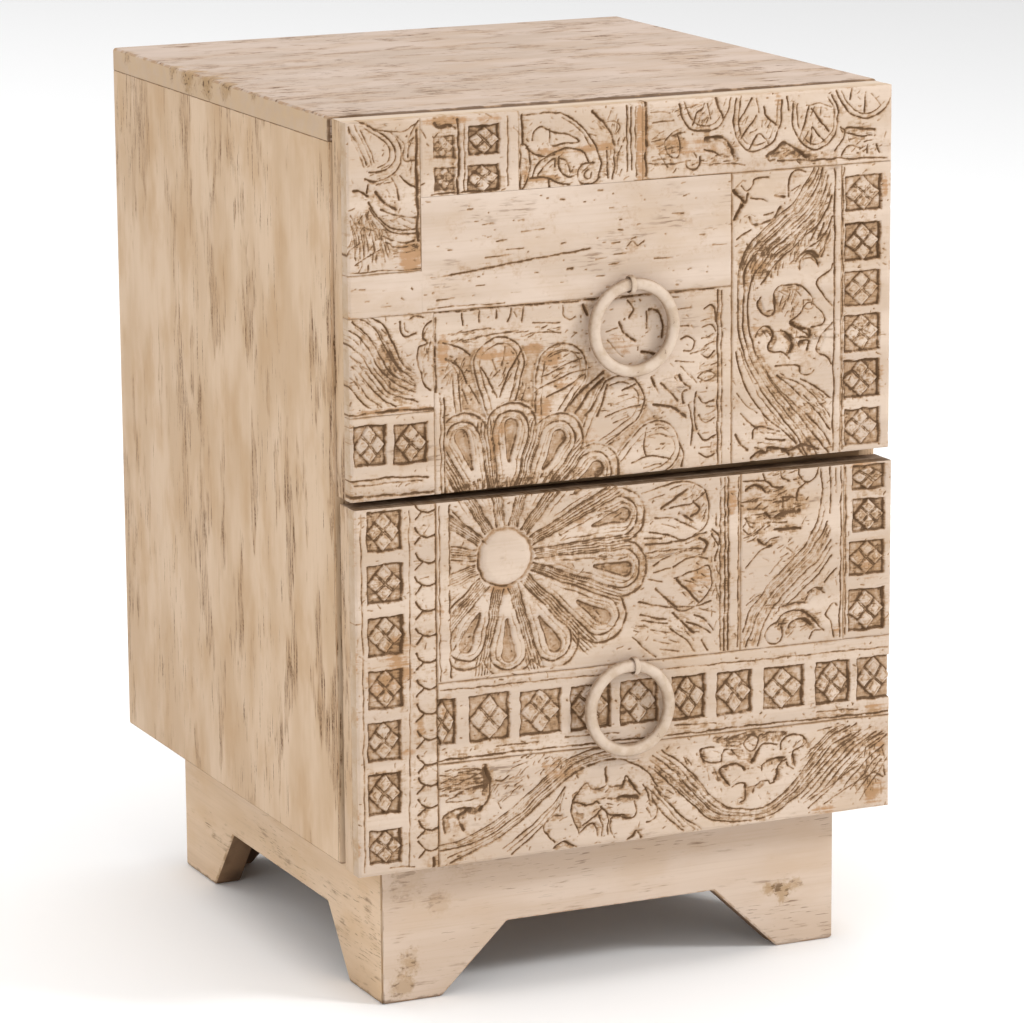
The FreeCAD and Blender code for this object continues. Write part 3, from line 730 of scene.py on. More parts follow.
rosetteForm = {
    "hub": (107.0, 42.0), "hubRadius": 18.8, "hubRise": 1.5,
    "petals": ((13, 86), (37, 84), (61, 84), (85, 84), (109, 84), (133, 84), (157, 84), (184, 84),
               (-150, 84), (-117, 61), (-88, 63), (-60, 70), (-34, 84), (-11, 87)),
    "petalFoot": 20.0, "petalNear": 1.2, "petalFar": 13.2, "dropFar": 4.6, "scallop": 5.4,
    "outerFoot": 98.0, "outerReach": 128.5, "outerNear": 9.0, "outerFar": 18.0,
    "rays": (-4.7, -2.8, -0.95, 0.95, 2.8, 4.7), "rayEnd": 96.0, "groundEnd": 143.0,
    # depth and width of the cuts
    "dropCut": (1.1, 1.5), "dropHalo": (0.7, 1.2), "petalInset": (0.8, 1.0), "rimCut": (1.5, 1.7),
    "scallopCut": (1.5, 1.8), "rayCut": (1.35, 1.05), "outerCut": (1.3, 1.6), "outerInset": (1.0, 1.2),
    "hubCut": (0.9, 1.8), "dropDepth": 2.4, "outerDepth": 1.5,
}


def rimLine(away, cut):
    # a cut that follows the outline a shape lies away from
    depth, width = cut
    return depth * ridge(np.abs(away), width)


def carveRosette(carving, drop, keep, outerPetals):
    form = rosetteForm
    hub = (form["hub"][0], form["hub"][1] + drop)
    u, v = carving["cutU"], carving["cutV"]
    radius = np.hypot(u - hub[0], v - hub[1])
    inside = smooth((u - keep[0]) / 1.0) * smooth((keep[1] - u) / 1.0)
    inside *= smooth((v - keep[2]) / 1.0) * smooth((keep[3] - v) / 1.0)
    petals = np.full(u.shape, 1e9)
    sunk = np.zeros_like(u)
    lines = np.zeros_like(u)
    for angle, reach in form["petals"]:
        away, along = petalDistance(u, v, hub, angle, form["petalFoot"], reach,
                                    form["petalNear"], form["petalFar"])
        petals = np.minimum(petals, away)
        shape, _ = petalDistance(u, v, hub, angle, reach - 20.0, reach + 3.0, 0.4, form["dropFar"])
        sunk = np.maximum(sunk, form["dropDepth"] * smooth(0.5 - shape / 4.2) * (shape < 2.0))
        lines = np.maximum(lines, rimLine(shape - 0.3, form["dropCut"]))
        lines = np.maximum(lines, rimLine(shape - 3.4, form["dropHalo"]) * smooth((along - 44.0) / 10.0))
        sunk = np.maximum(sunk, 0.5 * smooth(1.0 + away / 4.0) * (away < 0))
        inset = rimLine(away + 3.6, form["petalInset"]) * smooth((along - 14.0) / 12.0) * (shape > 2.0)
        lines = np.maximum(lines, inset)
    lines = np.maximum(lines, rimLine(petals, form["rimCut"]))
    lines = np.maximum(lines, rimLine(petals - form["scallop"], form["scallopCut"]))
    # bundles of rays between the petals
    free = smooth((petals - 0.2) / 0.8)
    angles = sorted(angle % 360 for angle, _ in form["petals"])
    for first, second in zip(angles, angles[1:] + [angles[0] + 360.0]):
        turn = math.radians((first + second) / 2.0)
        ahead = (u - hub[0]) * math.cos(turn) - (v - hub[1]) * math.sin(turn)
        aside = (u - hub[0]) * math.sin(turn) + (v - hub[1]) * math.cos(turn)
        fan = 0.55 + 0.45 * np.clip(ahead / 60.0, 0.0, 1.4)
        for offset in form["rays"]:
            stroke = rimLine(aside - offset * fan, form["rayCut"]) * smooth((ahead - 20.0) / 3.0)
            lines = np.maximum(lines, stroke * free * smooth((form["rayEnd"] - ahead) / 6.0))
    within = smooth((form["scallop"] - petals) / 1.0)
    lines = lines * smooth((radius - 20.0) / 2.0)
    sunk = np.maximum(sunk, carvingWays["petalGround"] * free * within * smooth((radius - 21.0) / 4.0))
    # outer petals behind
    beyond = smooth((petals - form["scallop"] - 0.6) / 1.0)
    outer = np.full(u.shape, 1e9)
    for angle in outerPetals:
        away, _ = petalDistance(u, v, hub, angle, form["outerFoot"], form["outerReach"],
                                form["outerNear"], form["outerFar"])
        outer = np.minimum(outer, away)
    if outerPetals:
        rims = np.maximum(rimLine(outer, form["outerCut"]), rimLine(outer + 4.2, form["outerInset"]))
        lines = np.maximum(lines, rims * beyond)
        between = smooth((outer - 0.6) / 1.5) * smooth((form["groundEnd"] - radius) / 5.0)
        clear = smooth((petals - form["scallop"] - 1.0) / 2.0)
        sunk = np.maximum(sunk, form["outerDepth"] * between * clear)
    # raised hub
    rim = radius - form["hubRadius"]
    moat = np.maximum(sunk * smooth((rim - 1.0) / 2.0), 1.5 * smooth((3.2 - rim) / 2.4))
    sunk = np.where(rim < 3.2, moat, sunk) * inside
    lines = lines * inside
    dome = 1.4 * smooth(1.0 + rim / 1.8) - form["hubRise"] * smooth(-rim / 5.0)
    carving["sunk"] = np.where(rim < 0.0, dome, np.maximum(carving["sunk"], sunk))
    # painted shadow: the cut round the hub is deeper, and so darker, on its lower-left side
    shaded = 0.35 + 0.65 * smooth(((hub[0] - u) + (v - hub[1])) / 30.0)
    shadowCrescent = rimLine(rim - 0.6, form["hubCut"]) * shaded
    carving["lines"] = np.maximum(carving["lines"], np.maximum(lines * (rim > 1.0), shadowCrescent))


def beadColumn(carving, left, right, levels, lean=5.0):
    # lobes one above another, parted by forked cuts
    width, depth = carvingWays["line"]
    reach = right - left
    fork = left + reach * 0.36
    for level in levels:
        cuts = (
            f"{left},{level - lean - 1} {left + reach * 0.12},{level - 3} {fork},{level}",
            f"{fork},{level} {left + reach * 0.7},{level + 1} {right},{level}",
            f"{fork},{level} {left + reach * 0.15},{level + 3} {left},{level + lean}",
        )
        for cut in cuts:
            groove(carving, bend(cut), width, depth)


carvings = {}
carvings["upper_corner_petal"] = {
    "hatch": [
        (12, 78, 12, 18, 75, 44), (30, 66, 16, 9, 345, 26), (40, 85, 9, 5, 0, 14),
        (28, 36, 10, 6, 20, 12), (38, 12, 10, 8, 45, 12), (45, 30, 4, 14, 85, 8),
    ],
    "line": [
        "10,1 20,5 30,7.5 40,8 48,4", "14,2 24,8 31,14 34,20 33,27 27,32 16,33",
        "31,8 36,14 38.5,22 36,31 29,36.5 20,38.5 13,36.5", "34,10 39,14 41,16.5", "2,3 8,14 14,27",
        "41,17 40,27 49,27", "44,17 43,25", "50,2 46,8 43,14 46.5,15.5", "31,37 35,45 36.5,52",
        "37,36 43,42 49,45", "15,40 14,46", "15,52 20,60 27,68 36,71 49,72",
        "16,56 22,65 29,71.5 38,74 48.5,74.5", "23,57 32,61 40,63 49,64.5", "25,75 31,78 40,80 46,79",
        "27,79 35,82.5 46,81.5",
    ],
    "bold": ["20,46 26,53 34,58", "5,44 9,44 14,48", "49.2,8 49,40 49.3,79"],
    "fine": [
        "12,4 22,10 29,16 30,22 28,27 22,30", "4,11 9,21 12,29", "14,60 18,69 20,77", "2,60 8,69",
        "3,66 6,76 5,88", "10,62 12,74 11,86", "5,92 14,87 22,83", "2,82 9,78",
        "0,96.5 14,97 30,97.5 51,98", "17,64 22,73 24,82",
    ],
    "bare": [(44, 90, 9, 9, 1.0), (35, 88, 7, 7, 0.6)],
    "sheaves": [
        ("14,58 18,70 20,84", "0,62 3,78 4,95", 5, "fine"),
        ("20,60 28,72 34,84", "16,66 22,80 26,95", 4, "fine"),
        ("0,3 6,16 11,30", "9,2 17,16 22,30", 4, "fine"),
    ],
    "soil": [(16, 78, 18, 20, 0.2), (30, 45, 18, 10, 0.2), (49, 60, 2, 40, 0.4)],
}
carvings["upper_small_lattice"] = {
    "cells": [
        (85, 107.5, 7, 26.5, 1.0), (85, 107.5, 32.5, 51, 1.0), (61, 75.5, 13, 27, 0.5),
        (61, 75.5, 33, 48.5, 0.6),
    ],
    "line": ["59,50.3 72,50 107,50.4"],
    "bold": ["78,3 78.6,27 77.6,51", "61,4 64,7 70,6 76,8"],
    "fine": ["113,3 113.4,24 113,48", "82.5,6 82.3,50"],
    "bare": [(70, 3, 20, 3, 0.8), (97, 4, 12, 2.5, 0.6)],
    "soil": [(70, 4, 12, 4, 0.6), (68, 30, 9, 20, 0.25)],
}
carvings["upper_scroll"] = {
    "hatch": [
        (190, 20, 7, 16, 80, 14), (150, 38, 22, 8, 30, 14), (178, 14, 8, 8, 315, 8),
        (190, 42, 6, 7, 80, 10), (127, 38, 3, 10, 85, 6),
    ],
    "line": [
        "121.9,22 122.2,49 124,51 127,45 129.5,33 126,23 121.9,22",
        "125,3 140,2.5 152,3.5 161,9 169,16 175.5,25 179,33 179.8,42 177,49",
        "131,20 132,14 137,11 142,14 148,16 158,18 164,23 154,23.5 144,23.5 143.4,14",
        "126,25 132,29 140,31", "140,31 146,28.5 154,27 162,27.5 168,31 171.5,37",
        "131,44 133,37 139,32 146,30", "135,43 140,36.5 147,33 147,38", "129,44 140,45 148,48 157,51",
        "142,46.5 142.5,51", "150,32 150.5,40 156,45.5 160,45", "150.5,33 155,35.5 157.5,42",
        "174.5,38 168,38 163,43 164,48.5 168,51 174,50.5 179,47", "198.8,2 199,45", "201.8,3 202,44",
        "184,30 185,48", "189,29 190,40 188,49",
    ],
    "bold": ["124,3 123.6,22", "174,4 182,12 187,19 190,27"],
    "fine": [
        "152,6 160,11 167,18 172,26", "171,42 168,44 168.5,47 172,47 173,44",
        "183,12 190,11 194,15 190,20", "193,33 191,46", "205,3 205.4,48",
    ],
    "bare": [
        (150, 28, 30, 2.6, 0.8), (139, 45, 12, 2.2, 0.9), (180, 27, 12, 3, 0.8),
        (125, 38, 2.5, 12, 0.7), (208.5, 26, 3, 28, 1.0),
    ],
    "soil": [(150, 40, 30, 13, 0.22), (186, 30, 10, 22, 0.2)],
}
carvings["upper_petal_frieze"] = {
    "pits": ["257,28 269,28 275,35 279,42", "304,44 313,37 322,40 333,46"],
    "hatch": [
        (228, 30, 12, 14, 10, 30), (256, 12, 8, 7, 60, 14), (366, 30, 14, 6, 5, 14),
        (320, 43, 18, 4, 15, 14), (294, 20, 10, 12, 50, 10), (336, 22, 10, 12, 60, 10),
        (240, 6, 12, 5, 20, 8), (375, 41, 14, 4, 30, 10), (262, 42, 18, 4, 5, 12),
    ],
    "line": [
        "237,3 241,14 247,20 256,22.5 266,20 272,12 275,2", "247,17 250,10 255,6", "258,4 260,14",
        "232,22 226,28 230,36 236,38 238,30 236,23", "242,41 243,45 248,47 252,44 252,39",
        "255,34 262,36 268,40", "279,2 277,14 278.5,26 284,34 291,38 300,36.5 308,30 312,20 313,5",
        "281,17 286,10 291,3", "283,29 290,20 294,14", "289,36 295,27 298,27 303,33",
        "299,9 302,16 309,21.5", "317,3 318,12", "310,45 330,46.5 350,47 372,48 393,49",
        "322,8 321,20 325,31 331,37.5 340,39.5 349,36 354,27 355,14 350,4", "326,31 331,19 333,11",
        "335,12 341,20 348,28", "335,36 336,25 340,30 345,35",
        "353,2 361,13 366,18.5 375,21 384,20 391,15.5 395,9", "357,26 361,30 353,42",
        "361,30 371,33 380,33", "358,46 363,39 372,41", "378,39.5 377,45", "385,39.5 387,45",
        "364,8 366,1", "375,17 376,4",
    ],
    "bold": [
        "264,1 267,8 270,14", "256,27 270,27 275,34 278.5,41",
        "302,42 308,38 314,34 320,36 326,40 332,45", "362,27 383,29", "213,1 213.2,26 213,49",
    ],
    "fine": [
        "241,2 245,12 250,17.5 256,19 264,16.5 268.5,10 271,2",
        "282,3 280.5,14 282,25 287,32 292,34 299,33 305,27.5 309,18 310,5",
        "325,9 324.5,19 328,29 333,34.5 340,36 347,33 351.5,25 352,14 347,5",
        "357,2 364,12 369,16.5 376,18 384,16.5 390,11", "331,10 342,9 350,12.5", "329,34 333,27",
        "380,5 388,13", "375,37 381,36.5", "252,14 256,9", "294,3 296,12", "226,29 233,31",
        "216,7 230,8", "218,14 232,13.5", "217,26 226,25.5", "215,41 232,42 245,41", "262,44 285,46",
        "222,35 228,44",
    ],
    "bare": [
        (211.5, 26, 2.6, 27, 1.0), (238, 31, 22, 6, 0.6), (310, 6, 3, 6, 0.8), (256, 34, 10, 3, 0.8),
        (320, 42, 10, 3, 0.6), (236, 5, 18, 3, 0.6),
    ],
    "soil": [(242, 28, 34, 24, 0.25), (340, 25, 50, 25, 0.12), (330, 46, 60, 4, 0.25)],
}
carvings["upper_plain_board"] = {
    "line": ["72,103.4 90,102 110,99.6 125,98 150,96 172,94"],
    "bold": ["155.4,106 158.8,106"],
    "soil": [
        (165, 70, 70, 14, 0.1), (100, 100, 40, 12, 0.1), (230, 85, 36, 26, 0.1), (205, 93, 9, 4, 0.15),
    ],
    "fine": [
        "58,104 66,103.8 80,103", "199,94 203,91.5 207,94.5 211,92", "187,92 193,91.4",
        "189,99 198,98.4", "202,90 205,89", "122,78.6 139,78.6", "232,75 240,75.5", "105,84 112,83.6",
        "90,112 96,112", "218,104 232,104.5", "62,119 74,118.6", "186,68 189,68", "240,64 244,63",
        "150,60 153,60", "84,62 88,62", "96,94 116,93.6", "112,90 124,89.6", "186,106 193,105",
        "176,101 184,100.6", "151,89 154,88.6", "100,72 103,72.4", "70,87 73,87", "176,112 182,112.4",
        "262,98 272,98.4", "55,125 80,124.4 110,125",
    ],
    "step": "plainStep",
}
carvings["upper_plain_block"] = {
    "fine": ["37,116 38.5,117", "8,108 12,108", "22,121 30,120.6", "44,110 45,111"],
    "step": "plainStep",
}
carvings["upper_left_wave"] = {
    "hatch": [
        (36, 168, 11, 14, 318, 30), (14, 165, 11, 18, 312, 22), (20, 138, 9, 8, 320, 10),
        (54, 156, 3, 20, 80, 10),
    ],
    "line": [
        "17,127 24,132 29,140 33,150 38,160 46,166", "8,128 16,132 22,140 27,150 33,160 45,170",
        "3,129 12,137 18,146 24,156 31,166 46,174", "1,134 9,141 15,150 21,160 30,170 46,179",
        "0,143 8,151 14,160 21,170 30,178 48,185", "2,158 9,165 15,173 23,181 33,187",
        "0,171 6,178 12,185 18,188", "58,133 53,136 52,143 55,147 49,149 48,156 50,165 53,174 57,178",
        "36,131 36,138 40,141.5 47,140",
    ],
    "bold": ["0,190 30,189.6 58,190.4"],
    "fine": [
        "13,128 20,135 26,144 30,153 36,163 46,171", "5,132 14,141 20,150 26,160 34,168",
        "0,138 8,145 14,154 20,164 28,173 44,181", "1,151 9,159 15,167 22,176 32,183",
        "1,165 8,172 14,180 22,186", "39,132 39,137 42,139", "43,129 47,128 52,130",
    ],
    "bare": [(29, 152, 6, 9, 0.5), (30, 189, 30, 2.4, 0.8)],
    "broad": [
        "3,128 10,130 17,135 22,143 26,152 31,160 38,165",
        "2,134 10,139 16,146 20,155 25,163 32,170 44,175",
        "0,143 7,147 13,156 18,165 25,175 33,182 48,187", "2,158 8,162 14,170 20,178 28,186",
        "0,170 5,176 10,183 15,188",
    ],
    "sheaves": [("29,148 35,160 46,166", "24,168 32,178 46,182", 5, "fine")],
    "soil": [
        (30, 165, 15, 20, 0.16), (29, 152, 9, 14, 0.3), (48, 129, 8, 3, 0.4), (52, 154, 2.5, 3, 0.5),
        (53, 166, 2.5, 3, 0.5), (53, 143, 2.5, 3, 0.5), (57.5, 160, 2, 30, 0.3),
    ],
}
carvings["upper_left_lattice"] = {
    "cells": [(2, 25, 198, 224.5, 1.0), (31, 54.5, 199, 225.5, 1.0)],
    "line": ["0,233.6 25,233 54,235"],
    "bold": ["0,244.4 30,245 58,245.8"],
    "fine": ["3,236.4 50,237"],
}
carvings["upper_rosette"] = {
    "hatch": [
        (103, 244, 14, 3, 90, 26), (128, 244, 12, 3, 62, 18), (150, 244, 12, 3, 45, 14),
        (80, 244, 9, 3, 118, 14), (76, 168, 9, 12, 60, 18), (112, 172, 12, 10, 60, 14),
        (150, 168, 12, 12, 15, 18), (197, 202, 16, 10, 10, 18), (258, 190, 6, 50, 10, 26),
        (222, 225, 12, 10, 5, 12), (85, 145, 16, 5, 5, 14), (135, 144, 16, 4, 5, 12),
        (240, 190, 8, 10, 310, 10),
    ],
    "rosette": (251.7, (67, 251, 142, 260), (112, 90.5, 70, 48, 29)),
    "line": [
        "60,127.6 120,127.4 170,128.2 230,127.6 264,127.8", "80,129 80,137", "92,129 92,136",
        "104,129 104,134", "115,129 112,137", "124,129 121.5,138", "152,130 152,136 157,139.5 161,138",
        "66.4,184 66.6,247", "265.6,129 265.8,247", "218,202 232,205 242,212",
        "183,207 195,203 208,202", "60.5,131 60.8,180", "93,166 99,176 104,187",
        "122,158 113,171 106,187", "133,185 150,178 170,174", "140,190 155,184 168,177",
        "202,240 215,237 231,240", "213,217 211,228 213,236", "195,190 205,187",
        "199,130 203,136 200,142", "213,139 212.6,150", "238,160 243,158 248,162 246,168 241,168",
        "252,200 256,205 263,203", "251,212 256,217.5 263,215", "251,225 256,230 264,227",
        "251,187 257,183 264,186 258,190 251,187", "253,171 258,174 263,170", "254,153 261,152 264,157",
        "256,140 261,138 264,143 264.6,150", "244,205 247,218 246,232", "250,196 248,210 250,222",
        "246,170 256,168", "66,148 78,152 86,158", "68,158 78,165 83,176", "236,226 240,238 239,246",
        "252,238 258,241 264,239",
    ],
    "bold": [
        "237,184 241,190 245,193 240,196 240,203", "217,184 222,194", "224,188 236,201",
        "153,200 168,187 182,177", "161,203 172,190 182,181", "169,205 177,194 183,183",
        "177,206 181,196 184,186", "193,145 198,153 205,158", "215,138 222,140 225,148 224,157",
        "209,166 219,168", "167,131 170,137", "218,202 232,205 241,211",
    ],
    "fine": [
        "63.6,184 63.8,247", "70,142 100,141", "90,146 120,144", "128,146 150,148", "130,140 150,141",
        "268.4,130 268.6,247", "85,178 92,190", "80,180 84,190", "96,172 101,181", "126,180 122,191",
        "118,176 114,188", "137,176 150,171 165,166", "142,164 152,160 164,163", "100,158 104,170",
        "110,154 108,168", "183,150 192,148", "184,156 190,163 196,168", "186,200 204,196",
        "188,212 200,208", "206,226 220,222 232,226", "210,244 224,243", "183,222 196,218",
        "180,228 194,223", "186,234 196,230", "228,130 236,131", "232,140 246,139", "230,150 244,151",
        "234,174 248,176", "246,184 250,190", "215,214 224,212",
    ],
    "bare": [
        (98, 157, 8, 5, 0.9), (114, 158, 11, 9, 0.8), (131, 157, 8, 4, 0.9), (143, 165, 7, 6, 0.9),
        (150, 182, 13, 3, 0.8), (102, 218, 3.5, 15, 0.9), (109, 208, 6, 4, 0.9), (66, 153, 4, 12, 0.7),
        (194, 160, 14, 10, 0.7), (266, 145, 3, 8, 0.8), (136, 197, 8, 7, 0.7), (172, 219, 7, 5, 0.6),
    ],
    "soil": [
        # the patch along the bottom edge, at 245 down, is painted shadow
        (115, 170, 55, 30, 0.22), (125, 245, 60, 5, 0.5), (262, 190, 5, 60, 0.2),
        (215, 180, 25, 40, 0.12),
    ],
}
carvings["upper_wave_band"] = {
    "hatch": [
        (318, 103, 32, 8, 75, 60), (300, 112, 16, 10, 80, 34), (290, 125, 6, 14, 85, 14),
        (318, 142, 7, 8, 65, 16), (344, 96, 7, 12, 60, 18), (330, 76, 14, 14, 45, 22),
        (343, 70, 7, 16, 65, 14), (300, 98, 14, 7, 40, 16), (318, 215, 18, 16, 312, 20),
        (340, 225, 10, 16, 310, 16), (300, 232, 12, 8, 340, 10), (345, 205, 7, 6, 320, 6),
    ],
    "pits": [
        "310,147 309,139 311,133 318,132 326,132", "297,140 300,147 306,147", "321,156 330,161 336,166",
        "297,161 303,158 308,164 305,171", "315,162 321,168 318,177", "345,166 341,176",
        "292,246 297,243 305,241 315,242 321,246", "327,118 329,112 335,110 341,116",
        "278,64 284,71 279,81", "328,170 335,170",
    ],
    "line": [
        "327,95 322,103", "333,94 328,103", "340,92 335,101", "345,90 340,100", "350,95 346,106",
        "348,104 344,112",
        "338,52 333,60 325,72 312,82 300,91 290,100 283,110 281,125 "
        "280.5,140 281,155 284,170 290,185 299,200 311,216 324,232 333,247",
        "344,53 340,64 331,76 318,87 305,97 295,106 287,116 285,130 "
        "284.5,145 285.5,160 289,174 296,188 306,202 318,217 331,233 341,247",
        "348,58 345,70 337,82 324,93 311,102 301,111 293,121 288,135 "
        "288.5,150 290.5,163 295,176 303,190 314,204 327,219 340,235 350,247",
        "351,72 347,82 339,92 327,101 316,109 306,118 298,128",
        "296,176 304,190 318,206 334,220 346,233 352,243", "310,190 325,203 340,218 351,231",
        "328,194 340,201 351,209", "279,172 285,192 293,207 303,219 315,229 326,240 331,247",
        "352,86 347,95 339,103 330,108 320,115", "283,60 287,64 292,60 293,57 303,56",
        "290,69 297,70 302,72", "318,70 319,57 324,53 331,54", "300,81 307,80", "280,96 290,90",
        "327,120 328,113 334,110 340,114 341,119", "352,118 350,122 340,129 345,138 352,146",
        "309,140 308,135 313,130 325,130 333,135 337,140 336,145",
        "298,136 296,143 302,149 308,148 309,140", "320,155 327,150 335,143 345,152 345,158 336,160",
        "320,155 330,162 335,166", "294,163 297,158 303,156.5 308,162 304,170 305,174 313,175 320,180",
        "313,160 320,165 321,172 318,178", "352,158 345,165 340,176 348,181 352,186",
        "309,184 326,185 328,190 335,192 338,190", "283,214 290,221 296,226",
        "292,232 293,226 300,225 312,229", "302,233 316,235", "353.2,53 353.4,150 353,246",
    ],
    "bold": [
        "321,156 328,160 335,162 335,167 328,166", "324,114 329,109 336,108.5 341,112",
        "320,243 330,240 342,244", "278,64 286,72 288,66", "278,82 284,74",
        "289,82 291,86 297,87 302,86 308,84 312,77", "308,69 315,70", "327,170 335,169 333,175",
        "279,229 284,236 288,239", "291,245 296,242 303,243 305,240 315,241 320,246",
    ],
    "fine": [
        "341,53 336,62 328,74 315,85 302,94 293,103", "346,56 342,67 334,79 321,90 308,100 298,109",
        "350,64 346,76 338,87 325,97 313,106 303,115", "352,98 348,106 343,112", "345,92 342,98",
        "282,170 289,188 297,203 308,217 320,231 329,245",
        "286,165 292,180 301,195 312,210 325,225 337,243",
        "292,170 299,184 309,198 321,212 334,226 346,243", "313,192 330,199 343,212 351,222",
        "330,141 337,142 337,147 331,147 330,141", "280,200 286,208 295,215",
        "329,113 334,112.5 338,115", "322,166 327,172", "300,160 303,163", "312,134 318,138 314,142",
        "324,134 328,138",
    ],
    "bare": [(296, 116, 6, 5, 0.8), (301, 222, 5, 6, 0.5), (300, 160, 8, 5, 0.4)],
    "sheaves": [
        (
            "338,52 333,60 325,72 312,82 300,91 290,100 283,110 281,125",
            "351,72 347,82 339,92 327,101 316,109 306,118 298,128", 10, "fine",
        ),
        (
            "283,160 288,178 297,195 309,211 322,227 334,246",
            "296,172 306,186 320,200 336,214 350,228", 5, "broad",
        ),
        (
            "284,166 290,182 299,198 311,213 324,229 336,246",
            "294,172 303,187 317,201 333,216 349,232", 6, "fine",
        ),
    ],
    "soil": [
        (318, 105, 34, 10, 0.18), (342, 80, 9, 26, 0.2), (318, 168, 6, 10, 0.3), (320, 140, 12, 9, 0.2),
        (320, 210, 26, 30, 0.12), (296, 113, 18, 14, 0.35), (335, 242, 18, 5, 0.5),
        (300, 152, 10, 22, 0.22), (284, 140, 4, 40, 0.2), (330, 165, 14, 20, 0.15),
    ],
}
carvings["upper_right_lattice"] = {
    "cells": [
        (361.5, 388.5, 59, 83.5, 1.0), (361.5, 388.5, 91.5, 117, 1.0), (361.5, 388.5, 124, 148, 1.0),
        (361.5, 388.5, 154.5, 179.5, 1.0), (361.5, 388.5, 185, 211, 1.0), (362, 389, 218.5, 243.5, 1.0),
    ],
    "fine": ["359.6,54 359.8,246"],
    "bare": [(390, 196, 3, 10, 0.6), (391, 70, 2, 14, 0.6), (375, 198, 8, 6, 0.4)],
    "soil": [(375, 87, 14, 4, 0.25), (360, 150, 2, 90, 0.3), (374, 214, 14, 3, 0.3)],
}
carvings["lower_left_lattice"] = {
    "cells": [
        (8.5, 33.5, 2, 29, 1.0), (8.5, 33.5, 38, 63.5, 1.0), (8, 33.5, 72.5, 99, 1.0),
        (8, 33, 109, 134.5, 1.0), (7.5, 31.5, 143, 169.5, 1.0), (7, 31, 178, 206, 1.0),
        (7, 30.5, 216.5, 240, 1.0),
    ],
    "beads": [
        (43, 56.6, (5, 21.5, 39, 54.5, 71.5, 88.5, 106, 124, 141, 158.5, 175.5, 190, 205, 220, 234)),
    ],
    "fine": ["4.5,3 4.8,120 4.2,244", "38.5,4 38,120 36,244", "22,243 40,244"],
    "bold": ["53.5,240 54,247"],
    "bare": [
        (30, 106, 9, 20, 0.8), (18, 118, 12, 9, 0.7), (45, 150, 3, 6, 0.6), (36, 166, 5, 2.5, 0.8),
        (16, 105, 10, 4, 0.6),
    ],
    "soil": [
        (49, 120, 8, 130, 0.22), (33, 120, 3, 60, 0.25), (20, 105, 16, 4, 0.4), (20, 178, 12, 2, 0.5),
        (57.2, 124, 1.2, 125, 0.5),
    ],
}
carvings["lower_rosette"] = {
    "hatch": [
        (246, 20, 10, 14, 60, 18), (245, 48, 12, 8, 10, 20), (246, 75, 12, 10, 330, 20),
        (240, 105, 18, 10, 340, 24), (262, 70, 4, 40, 85, 14), (222, 50, 14, 6, 5, 12),
        (215, 100, 14, 6, 350, 12), (188, 46, 14, 12, 0, 16), (185, 20, 14, 8, 12, 12),
        (178, 90, 12, 8, 325, 10), (74, 100, 5, 14, 70, 10),
    ],
    "rosette": (0.0, (67.6, 262, -8, 120.5), ()),
    "line": [
        "67.6,3 67.4,60 67.6,119", "269,4 269.2,60 268.6,123", "271.6,4 271.8,60 271.4,123",
        "279.4,5 279.4,122", "259,42 264,50 262,60", "260,39 265,44 265,49",
        "207,9 220,6 232,3.6 245,5 254,11 257,20 256,32 252,38 240,43 225,39 213,36",
        "224,21 245,19 254,13", "217,26 230,28 240,33 250,38", "210,44 232,44 255,40",
        "210,49 240,50 255,52", "216,59 230,53 245,50", "230,61 245,56 256,58",
        "231,69 248,65 256,63 259,72 258,80 248,89 235,92 222,79", "205,83 225,88 245,90 258,88",
        "206,92 225,97", "207,96 226,100", "240,100 250,104 258,110", "200,107 210,116 218,122",
        "246,96 254,100 260,108", "228,104 240,112 246,121", "252,114 256,121", "70,8 92,30",
        "70,37 86,38.5", "66,57 82,52", "66,80 84,63",
    ],
    "bold": [
        "222,20 233,14 241,9", "235,25 245,31", "233,70 249,87", "217,75 233,89", "230,93 246,108",
        "246,18 250,24 244,28", "250,44 256,48 252,55",
    ],
    "fine": [
        "60,3 59.8,60 60,120", "265.6,4 265.8,122", "262,28 263,36", "212,14 224,11", "228,8 236,6",
        "238,16 246,13", "222,31 232,35", "216,64 228,62", "240,72 252,76", "238,76 248,82",
        "212,68 222,70", "214,103 228,106", "216,110 228,114", "220,117 234,120", "248,60 256,66",
        "72,10 94,31", "68,60 82,55", "68,84 84,67", "238,102 246,114", "250,92 262,96",
        "262,64 266,72", "262,76 266,90", "208,52 224,55", "209,40 222,41",
    ],
    "bare": [
        (250, 74, 9, 9, 0.7), (120, 86, 12, 10, 0.35), (274, 22, 4, 8, 0.8), (60, 74, 3, 7, 0.7),
        (160, 24, 16, 8, 0.35), (104, 63, 9, 3, 0.8),
    ],
    "soil": [(165, 45, 42, 46, 0.16), (235, 60, 28, 55, 0.15), (268, 60, 4, 60, 0.25)],
}
